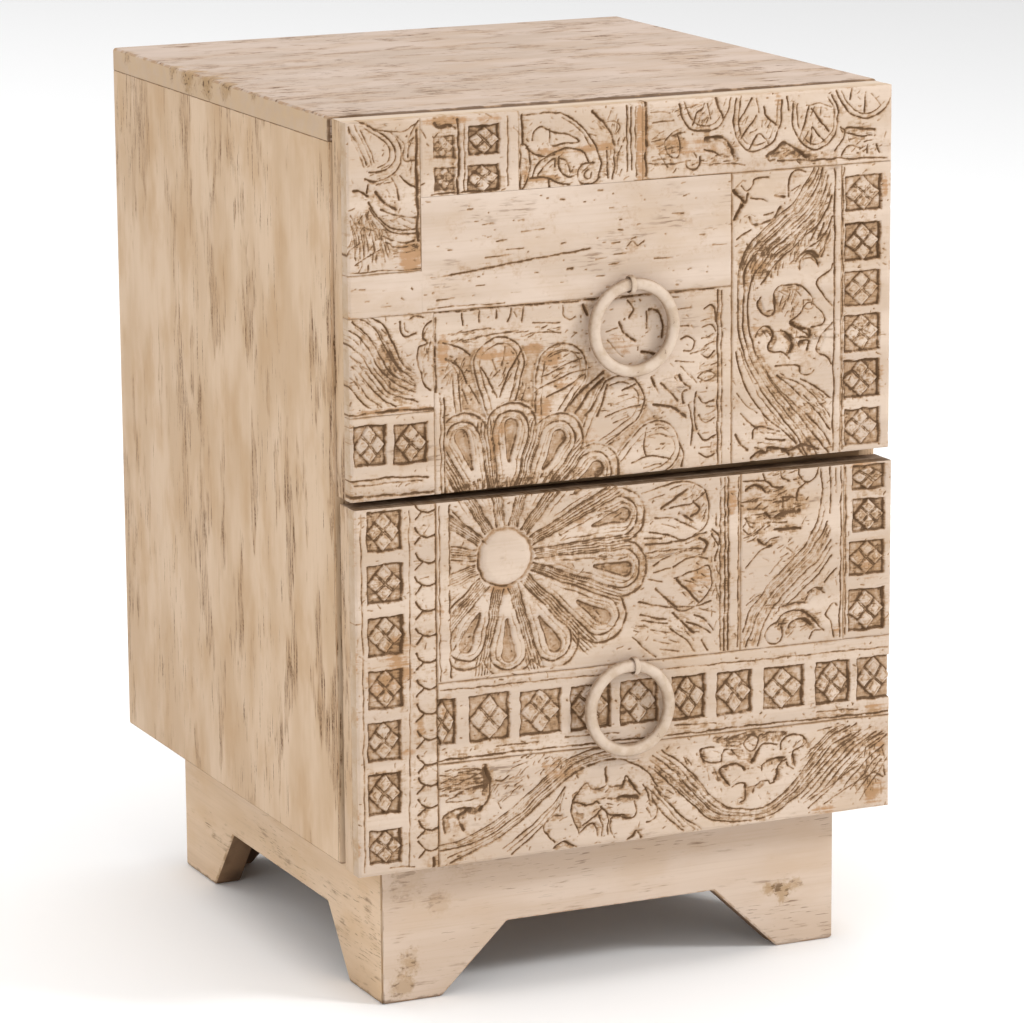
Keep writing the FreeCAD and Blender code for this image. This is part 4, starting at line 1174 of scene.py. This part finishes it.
carvings["lower_wave_band"] = {
    "hatch": [
        (303, 26, 24, 14, 5, 36), (292, 42, 11, 10, 20, 12), (306, 10, 20, 7, 10, 18),
        (318, 58, 9, 6, 35, 10), (320, 72, 16, 12, 42, 18), (300, 92, 12, 14, 50, 16),
        (322, 112, 14, 7, 20, 12), (345, 45, 5, 18, 75, 8),
    ],
    "pits": [
        "311,112 314,105 322,102 332,105 340,111", "317,115 321,110 329,109 336,114",
        "300,97 315,97 330,95 336,91 343,90", "286,14 291,12 297,14", "312,23 312,30 320,34",
        "300,32 307,35 314,33 325,32", "296,51 302,53 310,50",
    ],
    "line": [
        "341,33 337,45 329,58 315,70 303,80 295,90 287,100 283,112",
        "347,42 341,53 330,65 318,76 306,87 297,98 290,110 286,123",
        "350,55 342,66 330,76 318,86 307,97 299,108 294,123", "350,66 340,78 327,88 316,97",
        "285,15 290,12 296,13 299,17", "283,8 300,9 306,14 313,15", "311,4 312,8 318,11",
        "325,4 325,8 331,13 337,11 340,4", "331,13 325,17 323,25", "313,22 323,23", "307,43 326,44",
        "294,49 299,53 304,50 310,49", "290,62 296,57 304,54", "285,68 290,62", "341.5,5 343,20 342,33",
        "349,4 349.4,20 349,36", "357.4,5 357.6,60 357,123",
        "310,108 303,110 300,116 303,122 309,123 313,118 313,112",
        "309,108 313,103 321,101 330,104 337,109 342,115 345,118", "343,117 337,117 334,122",
        "345,84 354,75", "331,95 335,90 341,88 345,91", "313,97 325,96 332,97",
        "346,106 352,99 355,101", "346,106 350,112 352,123", "298,4 300,9",
    ],
    "bold": [
        "333,90 338,87 343,88", "307,43.4 316,44 326,44.4", "300,31 306,35 312,33 326,32",
        "318,113 320,110 328,108 335,112",
    ],
    "fine": [
        "344,38 339,49 330,62 317,73 305,84 296,94 289,105 284,118",
        "349,48 342,60 331,71 319,81 307,92 299,102 292,116", "350,60 341,72 329,82 317,91 308,102",
        "353,5 353.4,22", "285,22 300,23", "286,27 298,28", "305,38 316,39", "316,57 323,62",
        "284,33 287,38 290,41", "283,41 287,45", "284,47 289,46", "286,50 291,49", "285,36 283,39",
        "313,23 313,29",
    ],
    "bare": [(316, 44, 9, 2, 0.7), (355, 116, 3, 6, 0.5)],
    "sheaves": [
        (
            "341,33 337,45 329,58 315,70 303,80 295,90 287,100 283,112",
            "350,55 342,66 330,76 318,86 307,97 299,108 294,123", 9, "fine",
        ),
    ],
    "broad": ["308,75 290,100 284,122", "312,78 297,97 291,122", "315,85 303,100 297,110"],
    "soil": [
        (305, 28, 26, 18, 0.3), (292, 42, 11, 10, 0.25), (318, 27, 12, 8, 0.35), (290, 26, 9, 7, 0.3),
        (325, 108, 16, 6, 0.3), (316, 44, 10, 2, 0.3),
    ],
}
carvings["lower_right_lattice"] = {
    "cells": [
        (366.5, 391, 5.5, 22.5, 1.0), (366, 391.5, 28.5, 51.5, 1.0), (363.8, 391, 58.5, 82, 1.0),
        (364, 391, 91.5, 121, 1.0),
    ],
    "fine": ["361,6 361.2,122"],
    "bare": [(377, 70, 14, 13, 0.6), (377, 6, 12, 3, 0.7), (393, 105, 2, 16, 0.6)],
    "soil": [(377, 26, 14, 3, 0.4), (377, 70, 13, 12, 0.25), (361, 60, 2, 60, 0.3)],
}
bandCells = (
    (52, 71), (80, 109), (117.5, 147), (154.5, 184), (191, 219),
    (229, 254.5), (263.5, 290), (299, 329.5), (339, 365), (371, 398.5),
)
carvings["lower_lattice_band"] = {
    "cells": [(a, b, 133.5 + 0.0245 * (a - 80), 164.5 + 0.018 * (a - 80), 1.0) for a, b in bandCells],
    "line": ["58,174.4 130,175.4 220,177 300,178.4 395,180.4"],
    "fine": [
        "60,127 130,128.4 230,131 320,133 395,134.5", "100,169 130,170", "232,171 262,173",
        "340,174 372,176", "150,169.5 190,171",
    ],
    "bare": [(64, 140, 7, 8, 0.7), (205, 135, 16, 5, 0.6), (385, 178, 12, 4, 0.7)],
    "soil": [
        (110, 170, 50, 5, 0.35), (240, 174, 60, 4, 0.35), (360, 178, 36, 4, 0.4),
        (140, 128, 60, 3, 0.2), (300, 133, 60, 3, 0.25),
    ],
}
carvings["lower_wave_border"] = {
    "hatch": [
        (74, 188, 15, 8, 5, 26), (72, 196, 14, 5, 10, 14), (105, 198, 14, 10, 35, 22),
        (128, 186, 22, 8, 30, 18), (150, 190, 14, 8, 35, 14), (230, 205, 16, 16, 318, 26),
        (362, 212, 20, 18, 40, 8), (384, 222, 10, 20, 85, 16), (330, 200, 8, 10, 40, 12),
        (285, 187, 30, 5, 10, 20), (215, 222, 5, 12, 300, 10), (180, 224, 20, 10, 0, 12),
    ],
    "pits": [
        "157,214 160,217 164,218", "156,220 158,225 162,225.5", "159,228 160,233",
        "190,217 197,217.4 204,217 210,214", "184,229.6 190,230 197,230.4", "172,233 175,236 176,240",
        "168,206 172,208.6 177,208.6", "184,208.6 190,208.6 194,206", "198,206 202,211",
        "147,223.6 140,224 136,229 137,234", "143,245.6 149,242.6 155,245.6", "157,211 161,208 165,204",
        "252,191 253,196 257,200", "258,203 262,207 265,212", "266,207 268,213 271,217.4",
        "268,188 274,189 280,190", "270,193 275,195 280,195 284,196", "281,199 287,199.6 290,203",
        "262,184.4 271,186.4 281,184.6 292,183 303,185.6 315,187", "298,188 304,188 310,190",
        "300,207 306,205.4 312,204.6", "310,212 309,218", "322,203 323,209", "331,193 333,197",
        "286,221 286,228 283,231", "289,223 294,222 298,219.4", "64,222 63,215 68,213 74,216",
        "91,182 92,194 91,200", "78,211 84,212 88,210",
    ],
    "line": [
        "181,193 180.6,199 181,206 177,208 171,208 168,206 166,203.5 "
        "163,205 160,209 157,213 155,217 154.5,222 156,227 158,232 160,237.5",
        "181,206 185,208.5 189,208 193,207.5 194.5,202 198,204.5 201,209 203,213 206,216",
        "160,237.5 163,235.5 166,233 169,231.5 171.5,232.5 173,236 174,240",
        "156,216 160,216 165,218.5 170,218 173,216.5 175,218",
        "163,232.5 167,230 170,228 173,226.5 175,224 178,222",
        "184,231 187,229.5 192,230 196,231.5 200,231 202,228 202,224 201,220",
        "175,227 176,231 177.5,235 177,240", "181,227 182,231 181,236 181.5,240",
        "184,231 183,236 186,243", "147,223.5 142,223 138,225 135,228 135,232 138,237 142,241",
        "141,246 145,243.5 149,241.5 153,243.5 158,246.5", "216,222 218,226 218,232 215,235 211,235.5",
        "208,209 211,214 213,220",
        "252,190 252,194 254,198 258,200 262,200.5 266,200 267,196 269,193.5 272,193",
        "252,190 256,189.4 261,189.4",
        "284.5,192 284,190 287,186 291,184.5 295,187 294,192 291,196 287,195.5 284.5,192",
        "290,204 291.5,199.5 294,197 297,193 300,191.5 305,192 309,193.5",
        "312,197 312,193 315,190 320,188.5 326,189 330,191 333,195 328,198 322,200 322.5,205 323.5,211",
        "266,205 267,210 270,214 273,218",
        "275,219.5 279,217.5 284,217.5 286,220 286,226 285,230 281,231",
        "291,225 294,220.5 298,218 303,218.5 304.5,221 308,219.5 310,214 310,210 312,207 316,205",
        "297,210 298,206.5 302,205 306,203.5 315,203.5", "316,207 318,210 322,212.5",
        "58,233 72,231 85,227 100,220 115,211 128,201 140,192 152,185 165,181 180,180",
        "58,236.5 75,235 92,231 108,223 122,214 135,204 147,195 160,188 172,184 188,183",
        "66,245 82,240 100,233 115,225 130,214 143,204 155,196 168,191 185,189 200,193 212,202 218,212",
        "104,241 118,232 132,222 143,212 150,204", "110,245 124,236 136,226 146,215",
        "222,187 235,197 248,210 258,222 270,232 285,236 "
        "297,237 308,233 318,226 328,216 338,204 350,194 365,187",
        "215,190 228,200 240,213 252,227 265,237 282,241 "
        "300,241 315,234 328,224 340,211 352,199 366,193",
        "212,197 225,208 238,221 250,233 263,242 290,245 310,241 328,230 342,218",
        "216,212 226,224 240,237 252,246", "215,222 224,233 238,245", "60,190 66,188 76,190",
        "99,193 104,194 108,191", "100,208 103,212",
    ],
    "bold": [
        "182,215.5 187,216.6 193,216 198,216.6 204,217.6",
        "176.5,221 180,224.5 183,227.5 188,228.6 194,229", "197,246 200,244 202,241 204,243 206,246",
        "180.6,194 181,204", "267,205 271,204 276,203.5 280,203.6 283,206 285,208.5",
        "291,203 293,198.4 296,194.4", "302,204.4 308,203.4 314,203.6", "70,200 78,197 90,196",
        "62,224 61,214 66,211 72,209 80,210", "75,224 72,215 78,211", "88,212 93,205 95,195 92,184",
    ],
    "fine": [
        "136,229 139,229", "136,232 139.4,232", "147,208 145,214 143,220", "149,208 147,214 145.5,221",
        "144,212 142,219", "201,241 206,241", "142,246 145,245", "275,193 277,196 279,198",
        "272,190 276,190.6", "256,204 258,212", "262,205 265,212", "288,190 291,192",
        "62,234.6 80,232.6 96,227 112,218 126,208 139,198 152,190 166,186 184,185.6",
        "72,244 90,238 107,230 122,220 136,209 149,199 161,193", "107,243 121,234 134,224 144,213",
        "218,188 232,199 244,212 255,225 268,235 284,239 "
        "299,239 312,234 323,225 334,213 345,202 358,193",
        "213,193 226,204 239,217 251,230 264,240 286,243 305,241 322,232 335,221",
        "60,196 70,193 84,192", "63,203 74,204 86,203", "110,186 122,183", "330,238 350,228 372,216",
        "346,240 366,230 390,220", "372,206 380,198 392,196", "376,230 384,222 392,226",
        "340,188 352,186", "64,184 74,182 88,184",
    ],
    "bare": [
        (150, 190, 16, 8, 0.6), (385, 236, 12, 10, 0.5), (380, 206, 14, 14, 0.45),
        (70, 190, 12, 5, 0.5), (346, 244, 10, 3, 0.7), (225, 205, 12, 10, 0.3),
    ],
    "sheaves": [
        (
            "58,233 72,231 85,227 100,220 115,211 128,201 140,192 152,185 165,182 180,181",
            "66,245 82,240 100,233 115,225 130,214 143,204 155,196 168,191 185,189", 6, "fine",
        ),
        (
            "222,187 235,197 248,210 258,222 270,232 285,236 "
            "297,237 308,233 318,226 328,216 338,204 350,194 365,187",
            "212,197 225,208 238,221 250,233 263,242 290,245 310,241 328,230 342,218 356,206 372,196",
            5, "fine",
        ),
        ("208,200 220,212 231,225 243,239 250,246", "213,224 222,234 232,245", 3, "fine"),
        ("342,222 356,209 372,197 394,187", "372,246 380,236 388,226 395,215", 7, "fine"),
        (
            "318,232 332,220 345,207 360,196 378,188", "335,243 350,232 364,219 380,205 395,196", 6,
            "fine",
        ),
        ("326,210 336,199 348,190 358,185", "334,214 346,202 358,193 372,186", 5, "fine"),
        ("60,186 72,184 90,185", "60,199 74,198 92,199", 4, "fine"),
    ],
    "soil": [
        (92, 190, 5, 12, 0.4), (362, 210, 26, 20, 0.24), (384, 222, 14, 24, 0.2),
        (374, 188, 24, 7, 0.22), (345, 232, 20, 12, 0.14), (290, 210, 40, 24, 0.1),
        (230, 208, 18, 22, 0.15), (285, 184, 34, 4, 0.4), (78, 191, 18, 8, 0.35), (91, 188, 3, 8, 0.4),
        (68, 217, 8, 6, 0.4), (155, 190, 16, 7, 0.3), (370, 215, 26, 26, 0.16), (235, 212, 26, 26, 0.1),
        (180, 215, 24, 16, 0.15),
    ],
}


grimeWays = {
    "cuts": 1.06,
    "strokes": 0.40,
    "foot": 0.45,
    "ground": 0.34,
    "haze": (0.11, 0.11, 0.18),  # even, mottled, in the pores
    "cells": (0.08, 0.09, 0.10),
    "pits": (0.14, 0.10, 0.14),
}


def blurred(field, reach, axes=(0, 1)):
    # box blur by running sums
    for axis in axes:
        pad = [(reach + 1, reach) if a == axis else (0, 0) for a in (0, 1)]
        sums = np.cumsum(np.pad(field, pad, mode="edge"), axis)
        size = field.shape[axis]
        spread = 2 * reach + 1
        high = np.take(sums, np.arange(size) + spread, axis)
        low = np.take(sums, np.arange(size), axis)
        field = (high - low) / spread
    return field


def cutStrokes(plan, carving, step, draw):
    u, v = carving["u"], carving["v"]
    # strokes fade here and there, where hands and sandpaper have rubbed them
    fade = np.clip(0.88 + ripple(u, v, carving["seed"] + 9, 26.0, 0.26), 0.55, 1.0)
    if "rosette" in plan:
        carveRosette(carving, *plan["rosette"])
        carving["lines"] = carving["lines"] * fade
    for cell in plan.get("cells", []):
        latticeCell(carving, *cell, draw)
    for left, right, levels in plan.get("beads", []):
        beadColumn(carving, left, right, levels)
    for first, last, count, weight in plan.get("sheaves", []):
        for path in sheaf(first, last, count, draw):
            groove(carving, path, *carvingWays[weight], fade=fade, soft=weight == "broad")
    for weight in ("broad", "fine", "line", "bold"):
        for stroke in plan.get(weight, []):
            groove(carving, bend(stroke), *carvingWays[weight], fade=fade, soft=weight == "broad")
    for stroke in plan.get("pits", []):
        pit(carving, bend(stroke), fade)
    for patch in plan.get("hatch", []):
        hatch(carving, *patch, draw)
    # slips and dents of the chisel, and open pores on the plain boards
    plain = "step" in plan
    room = carvingWays["speckArea" if plain else "nickArea"]
    for _ in range(int(u.size * step * step / room)):
        atU, atV = draw.uniform(u.min(), u.max()), draw.uniform(v.min(), v.max())
        angle, reach = draw.normal(0.0, 0.1 if plain else 0.8), draw.exponential(1.3) + 0.2
        if "rosette" in plan and math.dist((atU, atV), rosetteForm["hub"]) < rosetteForm["hubRadius"]:
            continue
        way = np.array([math.cos(angle), math.sin(angle)]) * reach
        width, depth = carvingWays["nick"]
        groove(carving, [(atU, atV), (atU + way[0], atV + way[1])], width, depth * draw.uniform(0.4, 1.5))


def carve(block):
    plan = carvings[block]
    step = carvingWays[plan.get("step", "gridStep")]
    carving = startCarving(block, step)
    seed = carving["seed"]
    draw = np.random.default_rng(seed)
    u, v = carving["u"], carving["v"]
    cutStrokes(plan, carving, step, draw)
    lines, sunk = carving["lines"], carving["sunk"]
    # grime and painted shade lie in the cuts, at the foot of the sunk ground, and as a haze around dense
    # carving
    mottle = blurred(draw.normal(size=u.shape), max(1, round(1.2 / step)))
    mottle = mottle / mottle.std()
    pores = blurred(draw.normal(size=u.shape), max(2, round(2.2 / step)), axes=(1,))
    pores = np.clip(pores / pores.std() - 0.5, 0.0, 2.0)
    hollow = np.clip(lines - blurred(lines, max(1, round(2.0 / step))), 0.0, 1.2)
    foot = np.clip(sunk - blurred(sunk, max(1, round(1.6 / step))), 0.0, 1.0)
    haze = np.clip(blurred(lines, max(1, round(4.0 / step))) / 0.42, 0.0, 1.0)
    grime = grimeWays["cuts"] * hollow * (1.0 + 0.22 * mottle)
    grime = grime + grimeWays["strokes"] * smooth(lines / 1.6) * (1.0 + 0.25 * mottle)
    grime = grime + grimeWays["foot"] * foot + grimeWays["ground"] * smooth(sunk / 2.4)
    for key, field in (("haze", haze), ("cells", carving["cells"]), ("pits", carving["pits"])):
        even, mottled, porous = grimeWays[key]
        grime = grime + field * (even + mottled * mottle + porous * pores)
    grime = np.maximum(grime, 0.0)
    # glued joints and the worn edges of the block
    rub = ripple(u, v, seed + 5, 22.0, 0.5)
    bare = np.zeros_like(u)
    drop = np.zeros_like(u)
    for away, shows in zip(carving["sides"], jointShows[block]):
        rounding = carvingWays["edgeRound"] * (1.0 + 0.4 * rub)
        if shows:
            edge = (1.0 - smooth(away / rounding)) * shows ** 0.6
            grime = np.maximum(grime, shows * (1.0 - smooth(away / 1.3)) * (0.75 + 0.5 * rub))
        else:
            edge = 1.0 - smooth(away / (rounding * 1.3))
            bare = np.maximum(bare, 0.45 * edge * (0.6 + rub))
        drop = np.maximum(drop, edge)
    for spotU, spotV, reachU, reachV, strength in plan.get("bare", []):
        away = np.hypot((u - spotU) / reachU, (v - spotV) / reachV)
        bare = np.maximum(bare, strength * smooth(1.6 - away))
    # soft darker patches: dirt and painted shade gathered around dense carving
    for spotU, spotV, reachU, reachV, strength in plan.get("soil", []):
        away = np.hypot((u - spotU) / reachU, (v - spotV) / reachV)
        patch = strength * smooth(1.6 - away)
        grime = grime + patch * (0.45 + 0.55 * np.clip(lines, 0.0, 1.0) + 0.30 * pores + 0.20 * mottle)
    relief = lines + sunk + carvingWays["edgeDrop"] * drop
    relief = relief + ripple(u, v, seed + 7, 30.0, 0.12) + ripple(u, v, seed + 8, 8.0, 0.04)
    relief = relief + haze * (0.05 * mottle + 0.08 * pores)
    carving.update(relief=relief, grime=np.clip(grime, 0.0, 1.4), bare=np.clip(bare, 0.0, 1.2))
    return carving


def blockPiece(block):
    carving = carve(block)
    rows, cols = carving["u"].shape
    bpy.ops.object.select_all(action="DESELECT")
    bpy.ops.mesh.primitive_grid_add(
        x_subdivisions=cols - 1, y_subdivisions=rows - 1, size=2.0, rotation=(math.pi / 2, 0, 0))
    piece = bpy.context.active_object
    bpy.ops.object.transform_apply(location=True, rotation=True, scale=True)
    count = rows * cols
    flat = np.empty(count * 3)
    piece.data.vertices.foreach_get("co", flat)
    flat = flat.reshape(-1, 3)
    col = np.rint((flat[:, 0] + 1.0) / 2.0 * (cols - 1)).astype(int)
    row = np.rint((1.0 - flat[:, 2]) / 2.0 * (rows - 1)).astype(int)
    originX, originZ = carving["origin"]
    flat[:, 0] = originX + carving["u"][row, col] * mm
    flat[:, 1] = carving["face"] + carving["relief"][row, col] * mm
    flat[:, 2] = originZ - carving["v"][row, col] * mm
    piece.data.vertices.foreach_set("co", flat.ravel())
    for key in ("grime", "bare"):
        layer = piece.data.attributes.new(key, "FLOAT", "POINT")
        layer.data.foreach_set("value", carving[key][row, col].astype(np.float32))
    # the rim is drawn back to the glued face and closed
    bpy.ops.object.mode_set(mode="EDIT")
    bpy.ops.mesh.select_mode(type="EDGE")
    bpy.ops.mesh.select_all(action="DESELECT")
    bpy.ops.mesh.select_non_manifold(
        use_wire=False, use_multi_face=False, use_non_contiguous=False, use_verts=False)
    bpy.ops.mesh.mark_sharp()
    firstDraw = (0.0, 5.0 * mm, 0.0)
    bpy.ops.mesh.extrude_region_move(TRANSFORM_OT_translate={"value": firstDraw})
    bpy.ops.mesh.edge_face_add()
    bpy.ops.object.mode_set(mode="OBJECT")
    total = len(piece.data.vertices)
    flat = np.empty(total * 3)
    piece.data.vertices.foreach_get("co", flat)
    flat[1::3][count:] = carving["back"]
    piece.data.vertices.foreach_set("co", flat)
    bpy.ops.object.mode_set(mode="EDIT")
    bpy.ops.mesh.select_all(action="SELECT")
    bpy.ops.mesh.normals_make_consistent(inside=False)
    bpy.ops.object.mode_set(mode="OBJECT")
    bpy.ops.object.shade_smooth()
    drawer = block.split("_")[0]
    finish = finishes["plain" if "step" in carvings[block] else "carved"]
    return settle(piece, block + "_carved", f"{drawer}_drawer", "carved_wood", finish, block)


for blockName in carvings:
    blockPiece(blockName)
print("carved blocks made:", len(carvings))


# ring pulls hung on split pins

pullForm = {
    "ringRadius": 29.0 * mm, "wire": 4.2 * mm, "ringSteps": 120, "wireSteps": 32,
    "thinning": 0.02, "unevenness": 0.0128, "twist": 2.0 / (3.0 * mm),
    "eyeRadius": 5.62 * mm, "strip": 0.775 * mm, "eyeSteps": 56, "stripSteps": 20,
    "pinWidth": 3.6 * mm, "legLength": 16.0 * mm, "slit": 0.4 * mm,
    "legInset": 0.2 * mm, "pinEase": 0.5 * mm, "pinEaseSteps": 3, "smoothAngle": 50.0,
}


def pullRing(drawer):
    low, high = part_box(f"{drawer}_pull_ring")
    middle = (low + high) / 2
    bpy.ops.object.select_all(action="DESELECT")
    bpy.ops.mesh.primitive_torus_add(
        major_segments=pullForm["ringSteps"], minor_segments=pullForm["wireSteps"],
        major_radius=pullForm["ringRadius"], minor_radius=pullForm["wire"],
        location=middle, rotation=(math.pi / 2, 0, 0))
    ring = bpy.context.active_object
    bpy.ops.object.transform_apply(location=True, rotation=True, scale=True)
    # hammered bar: the section swells and thins a little on its way round
    for vertex in ring.data.vertices:
        away = vertex.co - middle
        way = math.atan2(away.z, away.x)
        core = Vector((math.cos(way), 0, math.sin(way))) * pullForm["ringRadius"]
        swell = math.sin(5 * way + 0.7) + 0.7 * math.sin(11 * way + 2.0) + 0.5 * math.sin(17 * way)
        swell += 0.6 * math.sin(3 * way + pullForm["twist"] * away.y)
        skin = away - core
        vertex.co = middle + core + skin * (1.0 - pullForm["thinning"] + pullForm["unevenness"] * swell)
    bpy.ops.object.shade_smooth()
    name, body, node = f"{drawer}_ring_pull", f"{drawer}_ring", f"{drawer}_pull_ring"
    return settle(ring, name, body, "painted_iron", finishes["iron"], node)


def strip(low, high):
    # a bar of the split pin with its edges rounded
    low, high = Vector(low), Vector(high)
    bpy.ops.mesh.primitive_cube_add(size=1.0, location=(low + high) / 2, scale=high - low)
    bar = bpy.context.active_object
    bpy.ops.object.transform_apply(location=True, rotation=True, scale=True)
    bpy.ops.object.mode_set(mode="EDIT")
    bpy.ops.mesh.select_all(action="SELECT")
    bpy.ops.mesh.bevel(offset=pullForm["pinEase"], segments=pullForm["pinEaseSteps"], affect="EDGES")
    bpy.ops.object.mode_set(mode="OBJECT")
    return bar


def splitPin(drawer):
    low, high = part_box(f"{drawer}_pull_pin")
    eyeY = low.y + pullForm["eyeRadius"] + pullForm["strip"]
    eyeZ = (low.z + high.z) / 2
    half = pullForm["pinWidth"] / 2
    thick = 2 * pullForm["strip"]
    gap = pullForm["slit"] / 2
    reach = high.y - thick
    bpy.ops.object.select_all(action="DESELECT")
    bpy.ops.mesh.primitive_torus_add(
        major_segments=pullForm["eyeSteps"], minor_segments=pullForm["stripSteps"],
        major_radius=pullForm["eyeRadius"], minor_radius=pullForm["strip"],
        location=(0, eyeY, eyeZ), rotation=(0, math.pi / 2, 0))
    eye = bpy.context.active_object
    bpy.ops.object.transform_apply(location=True, rotation=True, scale=True)
    bpy.ops.object.mode_set(mode="EDIT")
    bpy.ops.mesh.select_all(action="SELECT")
    bpy.ops.transform.resize(value=(half / pullForm["strip"], 1, 1), center_override=(0, eyeY, eyeZ))
    bpy.ops.object.mode_set(mode="OBJECT")
    bars = [eye]
    neck = eyeY + pullForm["eyeRadius"] - pullForm["strip"] / 2
    for side in (-1, 1):
        inner, outer = sorted((eyeZ + side * gap, eyeZ + side * thick))
        bars.append(strip((-half, neck, inner), (half, high.y - pullForm["legInset"], outer)))
        inner, outer = sorted((eyeZ + side * gap, eyeZ + side * pullForm["legLength"]))
        bars.append(strip((-half, reach, inner), (half, high.y, outer)))
    bpy.ops.object.select_all(action="DESELECT")
    for bar in bars:
        bar.select_set(True)
    bpy.context.view_layer.objects.active = eye
    bpy.ops.object.join()
    bpy.ops.object.shade_smooth_by_angle(angle=math.radians(pullForm["smoothAngle"]))
    name, body, node = f"{drawer}_split_pin", f"{drawer}_drawer", f"{drawer}_pull_pin"
    return settle(eye, name, body, "painted_iron", finishes["iron"], node)


for drawerName in ("upper", "lower"):
    pullRing(drawerName)
    splitPin(drawerName)
print("ring pulls hung")


# boards that stay as they are built get their bare wood

bareGrain = {
    "bareX": (
        "bottom_panel", "drawer_divider", "upper_back", "lower_back", "upper_bottom", "lower_bottom",
    ),
    "bareY": (
        "upper_left_side", "upper_right_side", "lower_left_side", "lower_right_side",
        "upper_left_runner", "upper_right_runner", "lower_left_runner", "lower_right_runner",
        "left_kicker", "right_kicker",
    ),
    "bareZ": (
        "back_panel", "plinth_block_front_left", "plinth_block_front_right",
        "plinth_block_back_left", "plinth_block_back_right",
    ),
}
for finishName, nodeNames in bareGrain.items():
    for nodeName in nodeNames:
        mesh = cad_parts[nodeName].data
        mesh.materials.clear()
        mesh.materials.append(finishes[finishName])
print("bare wood laid on")


# studio: pale floor, soft light from the right, camera where the photograph was taken

studio = {
    "floor": (0.93, 0.93, 0.93), "floorSize": 14.0, "floorRoughness": 0.9,
    "sky": 0.66,
    "key": {"place": (2.3, -2.2, 2.3), "size": 0.8, "power": 62.0, "aim": (0, 0, 0.3)},
    "fill": {"place": (-2.6, -1.6, 0.9), "size": 2.0, "power": 17.0, "aim": (0, 0, 0.3)},
    "low": {"place": (0.3, -3.0, 0.35), "size": 1.6, "power": 11.0, "aim": (0, 0, 0.3)},
    "top": {"place": (0.0, 0.4, 4.2), "size": 4.0, "power": 90.0, "aim": (0, 0, 0.3)},
    "rear": {"place": (-1.5, 4.6, 3.6), "size": 5.0, "power": 80.0, "aim": (-1.5, 4.61, 0.0)},
}
bpy.ops.object.select_all(action="DESELECT")
bpy.ops.mesh.primitive_plane_add(size=studio["floorSize"], location=(0, 0, 0))
floor = bpy.context.active_object
floor.name = "studio_floor"
floorFinish = bpy.data.materials.new("studio_floor_paper")
floorFinish.use_nodes = True
floorShader = floorFinish.node_tree.nodes["Principled BSDF"]
floorShader.inputs["Base Color"].default_value = (*studio["floor"], 1)
floorShader.inputs["Roughness"].default_value = studio["floorRoughness"]
floor.data.materials.append(floorFinish)
world = bpy.data.worlds.new("studio_sky")
world.use_nodes = True
world.node_tree.nodes["Background"].inputs["Color"].default_value = (1, 1, 1, 1)
world.node_tree.nodes["Background"].inputs["Strength"].default_value = studio["sky"]
bpy.context.scene.world = world
for lampName in ("key", "fill", "low", "top", "rear"):
    lamp = studio[lampName]
    light = bpy.data.lights.new(lampName + "_light", "AREA")
    light.shape = "SQUARE"
    light.size = lamp["size"]
    light.energy = lamp["power"]
    holder = bpy.data.objects.new(lampName + "_light", light)
    bpy.context.scene.collection.objects.link(holder)
    place = Vector(lamp["place"])
    facing = (Vector(lamp["aim"]) - place).to_track_quat("-Z", "Y")
    holder.matrix_world = Matrix.Translation(place) @ facing.to_matrix().to_4x4()

cameraView = {
    "azimuth": -24.609, "elevation": 12.606, "roll": -0.417, "focalPixels": 4900.86, "frameWidth": 1024.0,
    "distance": 3.4394, "aside": 0.00783, "above": -0.01373, "aim": (0.0, -0.00155, 0.3), "sensor": 36.0,
    "farthest": 50.0,
}
azimuth = math.radians(cameraView["azimuth"])
elevation = math.radians(cameraView["elevation"])
level = math.cos(elevation)
back = Vector((math.sin(azimuth) * level, -math.cos(azimuth) * level, math.sin(elevation)))
right = Vector((math.cos(azimuth), math.sin(azimuth), 0))
up = back.cross(right)
spot = Vector(cameraView["aim"]) + back * cameraView["distance"]
spot = spot + right * cameraView["aside"] + up * cameraView["above"]
turned = Matrix.Rotation(math.radians(cameraView["roll"]), 3, back)
camera = bpy.data.cameras.new("photo_camera")
camera.sensor_width = cameraView["sensor"]
camera.lens = cameraView["focalPixels"] / cameraView["frameWidth"] * cameraView["sensor"]
camera.clip_end = cameraView["farthest"]
cameraHolder = bpy.data.objects.new("photo_camera", camera)
bpy.context.scene.collection.objects.link(cameraHolder)
axes = Matrix((turned @ right, turned @ up, back)).transposed()
cameraHolder.matrix_world = Matrix.Translation(spot) @ axes.to_4x4()
bpy.context.scene.camera = cameraHolder
bpy.context.scene.view_settings.view_transform = "Standard"
print("studio set")
